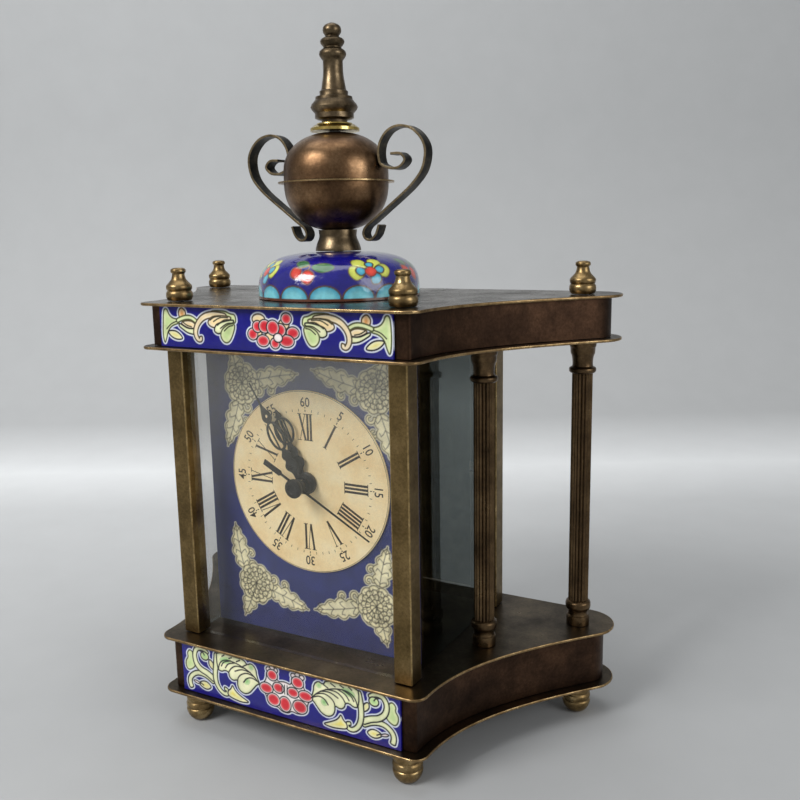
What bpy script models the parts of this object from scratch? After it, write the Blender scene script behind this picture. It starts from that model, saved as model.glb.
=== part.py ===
"""Mantel clock: enamel front plaques, a glazed case with a flared plan, turned
columns and an urn on a domed enamel foot.

Units are metres and Z is up. The dial faces -Y, and the origin is on the
surface that the clock stands on, under the middle of the case.
"""
import math

import bmesh
import bpy
from mathutils import Matrix
from mathutils import Vector

# Gaps between pieces
SEAT_GAP = 0.0003
RUNNING_GAP = 0.0004
MERGE_DISTANCE = 0.000001
CUT_OVERRUN = 0.002
SHARP_ANGLE = math.radians(35)
CURVE_PULL_SHARE = 1 / 6

# Plan of the four plates, wide and lobed at the back
CASE_DEPTH = 0.110
FRONT_HALF_WIDTH = 0.065
REAR_HALF_WIDTH = 0.1108
FRONT_CORNER_RADIUS = 0.006
SHARPEST_CORNER = 0.0008
LOBE_RADIUS = 0.014
LOBE_ENTRY_ANGLE = math.radians(-42)
SIDE_START_PULL_SHARE = 0.33
SIDE_END_PULL_SHARE = 0.48
CORNER_STEPS = 4
SIDE_STEPS = 8
LOBE_STEPS = 8

# Plates, walls and plaques of the two boxes
PLATE_THICKNESS = 0.0012
PLATE_OVERHANG = 0.0045
WALL_THICKNESS = 0.0012
BASE_WALL_HEIGHT = 0.0230
TOP_WALL_HEIGHT = 0.0162
PLAQUE_MARGIN = 0.0105
PLAQUE_THICKNESS = 0.001

# Posts of the case
PILLAR_HEIGHT = 0.1262
PILLAR_WIDTH = 0.008
PILLAR_EDGE_RADIUS = 0.0006
CASE_HALF_WIDTH = 0.057
FRONT_PILLAR_SETBACK = 0.0086
REAR_PILLAR_SETBACK = 0.0098
COLUMN_RADIUS = 0.0043
COLUMN_BASE_RADIUS = 0.0055
COLUMN_BASE_HEIGHT = 0.0113
COLUMN_CAPITAL_RADIUS = 0.0057
COLUMN_CAPITAL_HEIGHT = 0.0138
COLUMN_SIDES = 20
FLUTE_DEPTH_SHARE = 0.10
MID_COLUMN_STANDOFF = 0.0095
MID_COLUMN_SETBACK = 0.0562
REAR_COLUMN_INSET = 0.0152
REAR_COLUMN_SETBACK = 0.0165

# Feet and finials
FOOT_HEIGHT = 0.0153
FOOT_RADIUS = 0.0062
FRONT_FOOT_SETBACK = 0.0112
FINIAL_HEIGHT = 0.0134
FINIAL_RADIUS = 0.0055
FRONT_FINIAL_SETBACK = 0.0140
REAR_FINIAL_SETBACK = 0.0185
TURNED_SIDES = 14

# Glass
GLASS_THICKNESS = 0.002
GLASS_INSET = 0.003

# Dial
DIAL_RADIUS = 0.039
DIAL_THICKNESS = 0.0008
DIAL_SETBACK = 0.0257
DIAL_CENTRE_RISE = 0.0704
DIAL_PANEL_THICKNESS = 0.002
DIAL_SIDES = 44

# Hands
HAND_THICKNESS = 0.0006
HOUR_HAND_LENGTH = 0.033
MINUTE_HAND_LENGTH = 0.048
SECONDS_HAND_LENGTH = 0.0383
SECONDS_TAIL_LENGTH = 0.0189
SECONDS_BOSS_RADIUS = 0.0040
SECONDS_BOSS_HEIGHT = 0.0013
SECONDS_HAND_WIDTH = 0.0009
SECONDS_WEIGHT_LENGTH = 0.0094
SECONDS_WEIGHT_WIDTH = 0.0024
HAND_BOSS_RADIUS = 0.0047
HOUR_HAND_STANDOFF = 0.0015
MINUTE_HAND_STANDOFF = 0.0040
SECONDS_HAND_STANDOFF = 0.0070
HOUR_ANGLE = math.radians(336)
MINUTE_ANGLE = math.radians(329)
SECONDS_ANGLE = math.radians(119)

# Movement
MOTION_SPACE = 0.0046
MOVEMENT_PLATE_THICKNESS = 0.0014
MOVEMENT_PLATE_RADIUS = 0.035
MOVEMENT_DEPTH = 0.018
MOVEMENT_POST_RADIUS = 0.0025
MOVEMENT_POST_OFFSET = 0.023
ARBOR_RADIUS = 0.00075
ARBOR_SIDES = 8
WHEEL_THICKNESS = 0.001
PINION_OVERRUN = 0.0006
CANNON_RADIUS = 0.0019
HOUR_PIPE_WALL = 0.0008
MOTION_MODULE = 0.00055
FOURTH_MODULE = 0.0003
TRAIN_MODULE = 0.0004
GREAT_MODULE = 0.0005
TOOTH_TIP_SHARE = 0.3
TOOTH_ROOT_SHARE = 0.7
TOOTH_GAP_SHARE = 0.5
CANNON_TEETH = 10
MINUTE_WHEEL_TEETH = 30
MINUTE_PINION_TEETH = 8
HOUR_WHEEL_TEETH = 32
TRAIN_PINION_TEETH = 8
FOURTH_TEETH = 64
THIRD_TEETH = 60
CENTRE_TEETH = 64
CENTRE_PINION_TEETH = 9
GREAT_TEETH = 54
ESCAPE_TEETH = 15
ESCAPE_RADIUS = 0.006
ESCAPE_TOOTH_DEPTH = 0.0014
ESCAPE_TOOTH_GAP_SHARE = 0.3
ESCAPE_TO_LEVER = 0.0085
LEVER_TO_BALANCE = 0.009
PALLET_PIN_RADIUS = 0.0004
ROLLER_RADIUS = 0.0016
BALANCE_RADIUS = 0.0075
BALANCE_RIM = 0.0013
BALANCE_BAR_WIDTH = 0.0016
HAIRSPRING_RADIUS = 0.0055
HAIRSPRING_THICKNESS = 0.00025
HAIRSPRING_HEIGHT = 0.0008
HAIRSPRING_TURNS = 3
MAINSPRING_RADIUS = 0.0118
MAINSPRING_THICKNESS = 0.0005
MAINSPRING_TURNS = 4
SPRING_STEPS = 12
WINDING_ARBOR_RADIUS = 0.0015
WINDING_ARBOR_REACH = 0.0055
KEY_HUB_RADIUS = 0.0026
KEY_HUB_LENGTH = 0.007
KEY_WING_SPAN = 0.018
KEY_WING_HEIGHT = 0.008
KEY_WING_THICKNESS = 0.0012
SETTING_KNOB_RADIUS = 0.0045
SETTING_KNOB_THICKNESS = 0.0025
SETTING_ARBOR_REACH = 0.004
MINUTE_WHEEL_DIRECTION = math.radians(-30)
THIRD_DIRECTION = math.radians(160)
CENTRE_DIRECTION = math.radians(265)
GREAT_DIRECTION = math.radians(-40)
ESCAPE_DIRECTION = math.radians(20)
LEVER_DIRECTION = math.radians(100)

# Depth of each layer between the movement plates, from the front one
FOURTH_LAYER_SHARE = 0.06
THIRD_LAYER_SHARE = 0.17
CENTRE_LAYER_SHARE = 0.28
GREAT_LAYER_SHARE = 0.39
MAINSPRING_LAYER_SHARE = 0.48
MAINSPRING_END_SHARE = 0.90
ESCAPE_LAYER_SHARE = 0.45
LEVER_LAYER_SHARE = 0.55
BALANCE_LAYER_SHARE = 0.70
HAIRSPRING_LAYER_SHARE = 0.82

# Rear door
DOOR_SIDE_GAP = 0.0006
DOOR_END_GAP = 0.0002
DOOR_THICKNESS = 0.0025
DOOR_INSET = 0.0015
DOOR_STILE = 0.006
DOOR_PANEL_THICKNESS = 0.0015
DOOR_PIVOT_INSET = 0.0016
DOOR_PIVOT_RADIUS = 0.001
LATCH_SHAFT_RADIUS = 0.0012
LATCH_KNOB_RADIUS = 0.0028
LATCH_KNOB_HEIGHT = 0.0035
LATCH_TONGUE_LENGTH = 0.006
LATCH_TONGUE_WIDTH = 0.002
LATCH_TONGUE_THICKNESS = 0.0012
LATCH_PILLAR_GAP = 0.0005

# Dome and urn
DOME_RADIUS = 0.0344
DOME_HEIGHT = 0.0187
DOME_WALL = 0.0012
DOME_FULLNESS_SHARE = 3.3
DOME_SIDES = 26
DOME_STEPS = 6
URN_FOOT_RADIUS = 0.0097
URN_FOOT_HEIGHT = 0.0079
URN_RADIUS = 0.0215
URN_LOWER_HEIGHT = 0.0197
URN_BAND_HEIGHT = 0.0031
URN_UPPER_HEIGHT = 0.0166
URN_FLANGE_RADIUS = 0.0243
URN_FLANGE_THICKNESS = 0.0006
URN_WALL = 0.0009
URN_FULLNESS_SHARE = 2.4
URN_SIDES = 24
URN_STEPS = 6
WASHER_RADIUS = 0.0102
WASHER_HEIGHT = 0.0031
SPIRE_RADIUS = 0.0098
SPIRE_HEIGHT = 0.0394
TIE_BOLT_RADIUS = 0.002
TIE_BOLT_HEAD_RADIUS = 0.004
TIE_BOLT_HEAD_HEIGHT = 0.003
TIE_BOLT_HEAD_SIDES = 6
TIE_BOLT_GRIP = 0.012
HANDLE_STANDOFF = 0.0213
HANDLE_WIDTH = 0.006
HANDLE_THICKNESS = 0.001
HANDLE_STEPS = 2

# Outlines, as shares of the piece's own radius and height, bottom to top
FOOT_PROFILE_SHARES = (
    (0, 0), (0.68, 0), (0.92, 0.10), (0.92, 0.33), (0.74, 0.45), (0.63, 0.50),
    (0.63, 0.56), (0.90, 0.61), (1, 0.69), (1, 0.90), (0.87, 1), (0, 1),
)
FINIAL_PROFILE_SHARES = (
    (0, 0), (0.88, 0), (1, 0.12), (1, 0.22), (0.88, 0.29), (0.88, 0.31), (0.97, 0.37), (0.97, 0.46),
    (0.75, 0.55), (0.57, 0.63), (0.50, 0.79), (0.57, 0.86), (0.57, 0.94), (0.35, 1), (0, 1),
)
COLUMN_BASE_SHARES = (
    (0.91, 0), (0.91, 0.345), (0.77, 0.39), (0.77, 0.57), (1, 0.62), (1, 0.94),
)
COLUMN_CAPITAL_SHARES = (
    (1, 0.03), (1, 0.19), (0.74, 0.23), (0.78, 0.42), (0.90, 0.60), (0.91, 0.80),
    (0.98, 0.83), (0.98, 1),
)
URN_FOOT_SHARES = ((1, 0), (0.94, 0.33), (0.84, 0.63), (0.81, 0.80), (0.84, 1))
SPIRE_PROFILE_SHARES = (
    (0.54, 0), (0.54, 0.028), (0.82, 0.04), (0.82, 0.095), (0.95, 0.13), (1, 0.157), (0.95, 0.186),
    (0.79, 0.23), (0.775, 0.262), (0.60, 0.272), (0.60, 0.316), (0.52, 0.34), (0.44, 0.46),
    (0.415, 0.62), (0.52, 0.652), (0.57, 0.687), (0.52, 0.72), (0.375, 0.75), (0.47, 0.78),
    (0.51, 0.81), (0.46, 0.836), (0.28, 0.862), (0.37, 0.895), (0.39, 0.922), (0.34, 0.965), (0, 1),
)
# Strap handle: share of the urn's radius, of the standoff and of the bowl's height
HANDLE_PATH_SHARES = (
    (1, 0.268, 0.528), (1, 0.465, 0.522), (1, 0.568, 0.395), (1, 0.446, 0.258), (1, 0.258, 0.243),
    (1, 0.07, 0.321), (1, 0.018, 0.443), (1, 0.01, 0.611), (1, 0.066, 0.807), (1, 0.22, 0.991),
    (1, 0.455, 1.065), (1, 0.723, 0.991), (1, 0.93, 0.775), (1, 1, 0.517), (1, 0.925, 0.184),
    (1, 0.709, -0.098), (0.93, 0.484, -0.356), (0.83, 0.294, -0.589), (0.72, 0.15, -0.796),
    (0.6276, 0.075, -0.93), (0.58, 0.067, -1.065), (0.58, 0.124, -1.177), (0.58, 0.24, -1.188),
    (0.58, 0.35, -1.075), (0.58, 0.415, -0.889),
)
# Hands: share of the hand's length along it, and share of it as half width.
# The first point of an outline lies on the boss.
HOUR_HAND_SHARES = (
    (0, 0.045), (0.218, 0.045), (0.265, 0.073), (0.291, 0.082), (0.340, 0.082), (0.400, 0.045),
    (0.430, 0.066), (0.455, 0.073), (0.485, 0.066), (0.515, 0.033), (0.545, 0.055), (0.60, 0.110),
    (0.66, 0.139), (0.715, 0.148), (0.77, 0.139), (0.83, 0.110), (0.885, 0.045), (0.905, 0.050),
    (0.94, 0.036), (1, 0),
)
HOUR_HAND_HOLE_SHARES = (
    (0.57, 0.03), (0.62, 0.09), (0.67, 0.113), (0.715, 0.121), (0.76, 0.113), (0.81, 0.09),
    (0.86, 0.03),
)
MINUTE_HAND_SHARES = (
    (0, 0.027), (0.15, 0.027), (0.185, 0.043), (0.205, 0.050), (0.233, 0.050), (0.27, 0.027),
    (0.29, 0.040), (0.305, 0.044), (0.325, 0.040), (0.345, 0.019), (0.365, 0.040), (0.40, 0.067),
    (0.44, 0.081), (0.48, 0.085), (0.52, 0.081), (0.56, 0.067), (0.61, 0.022), (0.635, 0.046),
    (0.66, 0.054), (0.705, 0.040), (0.765, 0.0125), (1, 0.004),
)
MINUTE_HAND_HOLE_SHARES = (
    (0.38, 0.018), (0.41, 0.048), (0.445, 0.062), (0.48, 0.067), (0.515, 0.062), (0.55, 0.048),
    (0.585, 0.018),
)
# Lever: shares of the lever-to-balance distance above the pivot, of the
# escape-to-lever distance below it
LEVER_FORK_SHARES = ((0.09, 0.11), (0.09, 0.62), (0.145, 0.755), (0.055, 0.755), (0.055, 0.667))
LEVER_ARM_SHARES = ((0.118, -0.165), (0.506, -0.459), (0.647, -0.341))
PALLET_PIN_PLACE_SHARES = (0.545, -0.353)

# Levels, each from the piece below it
BOTTOM_PLATE_Z = FOOT_HEIGHT + SEAT_GAP
BASE_WALL_Z = BOTTOM_PLATE_Z + PLATE_THICKNESS + SEAT_GAP
DECK_Z = BASE_WALL_Z + BASE_WALL_HEIGHT + SEAT_GAP
PILLAR_Z = DECK_Z + PLATE_THICKNESS + SEAT_GAP
CEILING_Z = PILLAR_Z + PILLAR_HEIGHT + SEAT_GAP
TOP_WALL_Z = CEILING_Z + PLATE_THICKNESS + SEAT_GAP
ROOF_Z = TOP_WALL_Z + TOP_WALL_HEIGHT + SEAT_GAP
ORNAMENT_Z = ROOF_Z + PLATE_THICKNESS + SEAT_GAP
URN_FOOT_Z = ORNAMENT_Z + DOME_HEIGHT + SEAT_GAP
LOWER_BOWL_Z = URN_FOOT_Z + URN_FOOT_HEIGHT + SEAT_GAP
FLANGE_Z = LOWER_BOWL_Z + URN_LOWER_HEIGHT
UPPER_BOWL_Z = FLANGE_Z + URN_FLANGE_THICKNESS + SEAT_GAP
WASHER_Z = UPPER_BOWL_Z + URN_BAND_HEIGHT + URN_UPPER_HEIGHT + SEAT_GAP
SPIRE_Z = WASHER_Z + WASHER_HEIGHT + SEAT_GAP

# Places in plan
FRONT_Y = -CASE_DEPTH / 2
BACK_Y = CASE_DEPTH / 2
PILLAR_X = CASE_HALF_WIDTH - PILLAR_WIDTH / 2
PILLAR_INNER_X = CASE_HALF_WIDTH - PILLAR_WIDTH
FRONT_PILLAR_Y = FRONT_Y + FRONT_PILLAR_SETBACK + PILLAR_WIDTH / 2
REAR_PILLAR_Y = BACK_Y - REAR_PILLAR_SETBACK - PILLAR_WIDTH / 2
MID_COLUMN_X = CASE_HALF_WIDTH + MID_COLUMN_STANDOFF
MID_COLUMN_Y = FRONT_Y + MID_COLUMN_SETBACK
REAR_COLUMN_X = REAR_HALF_WIDTH - REAR_COLUMN_INSET
REAR_COLUMN_Y = BACK_Y - REAR_COLUMN_SETBACK
SIDE_GLASS_X = CASE_HALF_WIDTH - GLASS_INSET - GLASS_THICKNESS
DIAL_Z = PILLAR_Z + DIAL_CENTRE_RISE

# Places in depth, from the dial's face to the back of the movement
DIAL_FRONT_Y = FRONT_Y + DIAL_SETBACK
PANEL_FRONT_Y = DIAL_FRONT_Y + DIAL_THICKNESS + SEAT_GAP
PANEL_BACK_Y = PANEL_FRONT_Y + DIAL_PANEL_THICKNESS
FRONT_PLATE_Y = PANEL_BACK_Y + MOTION_SPACE
TRAIN_Y = FRONT_PLATE_Y + MOVEMENT_PLATE_THICKNESS
BACK_PLATE_Y = TRAIN_Y + MOVEMENT_DEPTH
MOVEMENT_BACK_Y = BACK_PLATE_Y + MOVEMENT_PLATE_THICKNESS
HOUR_PIPE_BORE = CANNON_RADIUS + RUNNING_GAP
HOUR_PIPE_RADIUS = HOUR_PIPE_BORE + HOUR_PIPE_WALL

# Colour, roughness and metallic value of each finish
FINISHES = {
    "plate_bronze": ((0.20, 0.15, 0.10, 1), 0.42, 1.0),
    "wall_bronze": ((0.10, 0.08, 0.06, 1), 0.50, 1.0),
    "pillar_brass": ((0.30, 0.23, 0.13, 1), 0.40, 1.0),
    "column_bronze": ((0.24, 0.15, 0.08, 1), 0.42, 1.0),
    "turned_brass": ((0.50, 0.38, 0.20, 1), 0.32, 1.0),
    "polished_brass": ((0.80, 0.65, 0.33, 1), 0.22, 1.0),
    "urn_bronze": ((0.27, 0.19, 0.12, 1), 0.40, 1.0),
    "dark_iron": ((0.08, 0.07, 0.06, 1), 0.55, 1.0),
    "cobalt_enamel": ((0.03, 0.03, 0.30, 1), 0.18, 0.0),
    "slate_enamel": ((0.06, 0.07, 0.16, 1), 0.35, 0.0),
    "cream_enamel": ((0.78, 0.62, 0.38, 1), 0.45, 0.0),
    "clear_glass": ((0.85, 0.90, 0.88, 0.25), 0.03, 0.0),
    "black_steel": ((0.01, 0.01, 0.01, 1), 0.35, 1.0),
    "steel": ((0.45, 0.45, 0.46, 1), 0.30, 1.0),
    "door_brass": ((0.22, 0.20, 0.13, 1), 0.45, 1.0),
}


def clear_scene():
    """Remove every object that the scene holds."""
    for obj in list(bpy.data.objects):
        bpy.data.objects.remove(obj, do_unlink=True)


def finish_material(finish):
    """The Principled material of one finish, made on its first use."""
    if finish in bpy.data.materials:
        return bpy.data.materials[finish]
    colour, roughness, metallic = FINISHES[finish]
    material = bpy.data.materials.new(finish)
    material.use_nodes = True
    shader = material.node_tree.nodes["Principled BSDF"]
    shader.inputs["Base Color"].default_value = colour
    shader.inputs["Roughness"].default_value = roughness
    shader.inputs["Metallic"].default_value = metallic
    shader.inputs["Alpha"].default_value = colour[3]
    return material


def as_object(bm):
    """Turn a closed bmesh into a linked object with its faces pointing out."""
    bmesh.ops.recalc_face_normals(bm, faces=bm.faces)
    mesh = bpy.data.meshes.new("shape")
    bm.to_mesh(mesh)
    bm.free()
    obj = bpy.data.objects.new("shape", mesh)
    bpy.context.collection.objects.link(obj)
    return obj


def combine(body, tool, operation):
    """Apply one Boolean to body and remove the tool."""
    modifier = body.modifiers.new(operation, "BOOLEAN")
    modifier.operation = operation
    modifier.solver = "EXACT"
    modifier.object = tool
    graph = bpy.context.evaluated_depsgraph_get()
    mesh = bpy.data.meshes.new_from_object(body.evaluated_get(graph))
    body.modifiers.clear()
    body.data = mesh
    bpy.data.objects.remove(tool, do_unlink=True)
    return body


def unite(body, *others):
    """Join shapes into one closed body."""
    for other in others:
        combine(body, other, "UNION")
    return body


def cut(body, *others):
    """Take shapes out of a body."""
    for other in others:
        combine(body, other, "DIFFERENCE")
    return body


def place(obj, name, finish, location=(0, 0, 0), rotation=(0, 0, 0)):
    """Name, dress and place a finished shape."""
    obj.name = name
    obj.data.name = name
    obj.data.materials.clear()
    obj.data.materials.append(finish_material(finish))
    obj.data.shade_smooth()
    obj.data.set_sharp_from_angle(angle=SHARP_ANGLE)
    obj.location = location
    obj.rotation_euler = rotation
    return obj


FACING_FRONT = (math.pi / 2, 0, 0)


def circle(radius, sides, centre=(0, 0), phase=0):
    """Corners of a regular polygon, anticlockwise."""
    turns = (phase + math.tau * step / sides for step in range(sides))
    return [(centre[0] + radius * math.cos(a), centre[1] + radius * math.sin(a)) for a in turns]


def rectangle(low_x, high_x, low_y, high_y):
    """Corners of a rectangle, anticlockwise."""
    return [(low_x, low_y), (high_x, low_y), (high_x, high_y), (low_x, high_y)]


def prism(outline, low, high):
    """Extrude a closed outline from one level to another."""
    bm = bmesh.new()
    face = bm.faces.new([bm.verts.new((x, y, low)) for x, y in outline])
    raised = bmesh.ops.extrude_face_region(bm, geom=[face])["geom"]
    corners = [item for item in raised if isinstance(item, bmesh.types.BMVert)]
    bmesh.ops.translate(bm, verts=corners, vec=(0, 0, high - low))
    return as_object(bm)


def box(low, high):
    """A box between two opposite corners."""
    return prism(rectangle(low[0], high[0], low[1], high[1]), low[2], high[2])


def ring_prism(outer, inner, low, high):
    """A wall between two outlines that have the same number of corners."""
    bm = bmesh.new()
    loops = []
    for outline, level in ((outer, low), (inner, low), (inner, high), (outer, high)):
        loops.append([bm.verts.new((x, y, level)) for x, y in outline])
    count = len(outer)
    for first, second in zip(loops, loops[1:] + loops[:1]):
        for index in range(count):
            after = (index + 1) % count
            bm.faces.new((first[index], first[after], second[after], second[index]))
    return as_object(bm)


def turned(profile, sides, closed=False):
    """Turn a profile of (radius, height) points about Z."""
    bm = bmesh.new()
    verts = [bm.verts.new((radius, 0, height)) for radius, height in profile]
    edges = [bm.edges.new(pair) for pair in zip(verts, verts[1:])]
    if closed:
        edges.append(bm.edges.new((verts[-1], verts[0])))
    bmesh.ops.spin(
        bm, geom=verts + edges, cent=(0, 0, 0), axis=(0, 0, 1), angle=math.tau,
        steps=sides, use_merge=True, use_duplicate=False,
    )
    bmesh.ops.remove_doubles(bm, verts=bm.verts, dist=MERGE_DISTANCE)
    return as_object(bm)


def scaled_profile(shares, radius, height, base=0):
    """A profile in metres from shares of a radius and a height."""
    return [(radius * across, base + height * up) for across, up in shares]


def cubic(points, share):
    """A point on a cubic curve through four control points."""
    start, pull_out, pull_in, end = (Vector(point) for point in points)
    rest = 1 - share
    point = (
        start * rest ** 3 + pull_out * 3 * rest ** 2 * share
        + pull_in * 3 * rest * share ** 2 + end * share ** 3
    )
    return tuple(point)


def plan_outline(inset):
    """Outline of the case in plan, drawn in by an inset, anticlockwise."""
    radius = max(FRONT_CORNER_RADIUS - inset, SHARPEST_CORNER)
    side_x = FRONT_HALF_WIDTH - inset
    corner = (side_x - radius, FRONT_Y + inset + radius)
    quarter = math.pi / 2
    half = []
    for step in range(CORNER_STEPS + 1):
        angle = quarter * step / CORNER_STEPS - quarter
        half.append((corner[0] + radius * math.cos(angle), corner[1] + radius * math.sin(angle)))
    lobe = (REAR_HALF_WIDTH - LOBE_RADIUS, BACK_Y - LOBE_RADIUS)
    lobe_radius = LOBE_RADIUS - inset
    heading = Vector((-math.sin(LOBE_ENTRY_ANGLE), math.cos(LOBE_ENTRY_ANGLE)))
    end = Vector(lobe) + lobe_radius * Vector((heading.y, -heading.x))
    start = Vector(half[-1])
    length = end.y - start.y
    pull_out = start + Vector((0, length * SIDE_START_PULL_SHARE))
    pull_in = end - heading * length * SIDE_END_PULL_SHARE
    for step in range(1, SIDE_STEPS):
        half.append(cubic((start, pull_out, pull_in, end), step / SIDE_STEPS))
    sweep = quarter - LOBE_ENTRY_ANGLE
    for step in range(LOBE_STEPS + 1):
        angle = LOBE_ENTRY_ANGLE + sweep * step / LOBE_STEPS
        half.append((lobe[0] + lobe_radius * math.cos(angle), lobe[1] + lobe_radius * math.sin(angle)))
    return half + [(-x, y) for x, y in reversed(half)]


def make_plate(name, level, holes=()):
    """One of the four plates, with round holes given as (x, y, radius)."""
    plate = prism(plan_outline(0), level, level + PLATE_THICKNESS)
    for x, y, radius in holes:
        drill = circle(radius, ARBOR_SIDES, (x, y))
        cut(plate, prism(drill, level - CUT_OVERRUN, level + PLATE_THICKNESS + CUT_OVERRUN))
    return place(plate, name, "plate_bronze")


def make_box(name, level, height):
    """The wall band of one box and the enamel plaque on its front."""
    outer = plan_outline(PLATE_OVERHANG)
    inner = plan_outline(PLATE_OVERHANG + WALL_THICKNESS)
    wall = ring_prism(outer, inner, level, level + height)
    place(wall, name + "_wall_band", "wall_bronze")
    half = FRONT_HALF_WIDTH - PLAQUE_MARGIN
    back = FRONT_Y + PLATE_OVERHANG - SEAT_GAP
    plaque = box((-half, back - PLAQUE_THICKNESS, level), (half, back, level + height))
    place(plaque, name + "_enamel_plaque", "cobalt_enamel")


def make_pillars():
    """Four square posts that stand between the deck and the ceiling plate."""
    half = PILLAR_WIDTH / 2 - PILLAR_EDGE_RADIUS
    section = []
    for corner, (side_x, side_y) in enumerate(((1, 1), (-1, 1), (-1, -1), (1, -1))):
        for step in (0, 1):
            angle = math.pi / 2 * (corner + step)
            section.append((
                side_x * half + PILLAR_EDGE_RADIUS * math.cos(angle),
                side_y * half + PILLAR_EDGE_RADIUS * math.sin(angle),
            ))
    for row, y in (("front", FRONT_PILLAR_Y), ("rear", REAR_PILLAR_Y)):
        for side, x in (("left", -PILLAR_X), ("right", PILLAR_X)):
            pillar = prism(section, 0, PILLAR_HEIGHT)
            place(pillar, f"{row}_{side}_pillar", "pillar_brass", (x, y, PILLAR_Z))


def fluted_column():
    """A turned column whose shaft has flutes between its base and its capital."""
    capital_z = PILLAR_HEIGHT - COLUMN_CAPITAL_HEIGHT
    profile = [(0, 0)]
    profile += scaled_profile(COLUMN_BASE_SHARES, COLUMN_BASE_RADIUS, COLUMN_BASE_HEIGHT)
    profile += [(COLUMN_RADIUS, COLUMN_BASE_HEIGHT), (COLUMN_RADIUS, capital_z)]
    profile += scaled_profile(
        COLUMN_CAPITAL_SHARES, COLUMN_CAPITAL_RADIUS, COLUMN_CAPITAL_HEIGHT, capital_z,
    )
    profile.append((0, PILLAR_HEIGHT))
    column = turned(profile, COLUMN_SIDES)
    for vert in column.data.vertices:
        on_shaft = COLUMN_BASE_HEIGHT <= vert.co.z + SEAT_GAP and vert.co.z <= capital_z + SEAT_GAP
        on_shaft = on_shaft and math.hypot(vert.co.x, vert.co.y) < COLUMN_RADIUS + SEAT_GAP / 2
        turn = math.atan2(vert.co.y, vert.co.x) * COLUMN_SIDES / math.tau
        if on_shaft and round(turn) % 2:
            vert.co.x *= 1 - FLUTE_DEPTH_SHARE
            vert.co.y *= 1 - FLUTE_DEPTH_SHARE
    return column


def make_columns():
    """Two columns beside the case and two on its rear lobes."""
    for row, x, y in (
        ("mid", MID_COLUMN_X, MID_COLUMN_Y), ("rear", REAR_COLUMN_X, REAR_COLUMN_Y),
    ):
        for side, sign in (("left", -1), ("right", 1)):
            place(fluted_column(), f"{row}_{side}_column", "column_bronze", (sign * x, y, PILLAR_Z))


def make_feet():
    """Four turned feet under the bottom plate."""
    profile = scaled_profile(FOOT_PROFILE_SHARES, FOOT_RADIUS, FOOT_HEIGHT)
    for row, x, y in (
        ("front", PILLAR_X, FRONT_Y + FRONT_FOOT_SETBACK), ("rear", REAR_COLUMN_X, REAR_COLUMN_Y),
    ):
        for side, sign in (("left", -1), ("right", 1)):
            foot = turned(profile, TURNED_SIDES)
            place(foot, f"{row}_{side}_foot", "turned_brass", (sign * x, y, 0))


def make_finials():
    """Four turned finials on the roof plate."""
    profile = scaled_profile(FINIAL_PROFILE_SHARES, FINIAL_RADIUS, FINIAL_HEIGHT)
    for row, x, y in (
        ("front", PILLAR_X, FRONT_Y + FRONT_FINIAL_SETBACK),
        ("rear", REAR_COLUMN_X, BACK_Y - REAR_FINIAL_SETBACK),
    ):
        for side, sign in (("left", -1), ("right", 1)):
            finial = turned(profile, TURNED_SIDES)
            place(finial, f"{row}_{side}_finial", "turned_brass", (sign * x, y, ORNAMENT_Z))


def make_glazing():
    """Front and side panes, held between the pillars."""
    top = PILLAR_Z + PILLAR_HEIGHT
    front = FRONT_Y + FRONT_PILLAR_SETBACK + GLASS_INSET
    half = PILLAR_INNER_X - SEAT_GAP
    pane = box((-half, front, PILLAR_Z), (half, front + GLASS_THICKNESS, top))
    place(pane, "front_glass", "clear_glass")
    near = FRONT_PILLAR_Y + PILLAR_WIDTH / 2 + SEAT_GAP
    far = REAR_PILLAR_Y - PILLAR_WIDTH / 2 - SEAT_GAP
    for side, low in (("left", -SIDE_GLASS_X - GLASS_THICKNESS), ("right", SIDE_GLASS_X)):
        pane = box((low, near, PILLAR_Z), (low + GLASS_THICKNESS, far, top))
        place(pane, side + "_glass", "clear_glass")


def make_dial():
    """The dial panel that spans the case, and the round dial on it."""
    half = SIDE_GLASS_X - SEAT_GAP
    bore = HOUR_PIPE_RADIUS + RUNNING_GAP
    low = PILLAR_Z - DIAL_Z
    panel = prism(rectangle(-half, half, low, low + PILLAR_HEIGHT), 0, DIAL_PANEL_THICKNESS)
    drill = circle(bore, TURNED_SIDES)
    cut(panel, prism(drill, -CUT_OVERRUN, DIAL_PANEL_THICKNESS + CUT_OVERRUN))
    place(panel, "dial_panel", "slate_enamel", (0, PANEL_BACK_Y, DIAL_Z), FACING_FRONT)
    outer = circle(DIAL_RADIUS, DIAL_SIDES)
    dial = ring_prism(outer, circle(bore, DIAL_SIDES), 0, DIAL_THICKNESS)
    place(dial, "dial_disc", "cream_enamel", (0, DIAL_FRONT_Y + DIAL_THICKNESS, DIAL_Z), FACING_FRONT)


def layer(outline, front, back):
    """A slice of a movement piece between two depths, in its own frame.

    The frame's origin is at the inner face of the front movement plate, and
    its Z runs towards the dial.
    """
    return prism(outline, TRAIN_Y - back, TRAIN_Y - front)


def place_in_movement(obj, name, finish, centre=(0, 0)):
    """Place a movement piece by its axis, measured from the dial's centre."""
    return place(obj, name, finish, (centre[0], TRAIN_Y, DIAL_Z + centre[1]), FACING_FRONT)


def train_y(share):
    """Depth of a layer between the movement plates."""
    return TRAIN_Y + MOVEMENT_DEPTH * share


def pitch_radius(module, teeth):
    """Pitch radius of a wheel or pinion."""
    return module * teeth / 2


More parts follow.
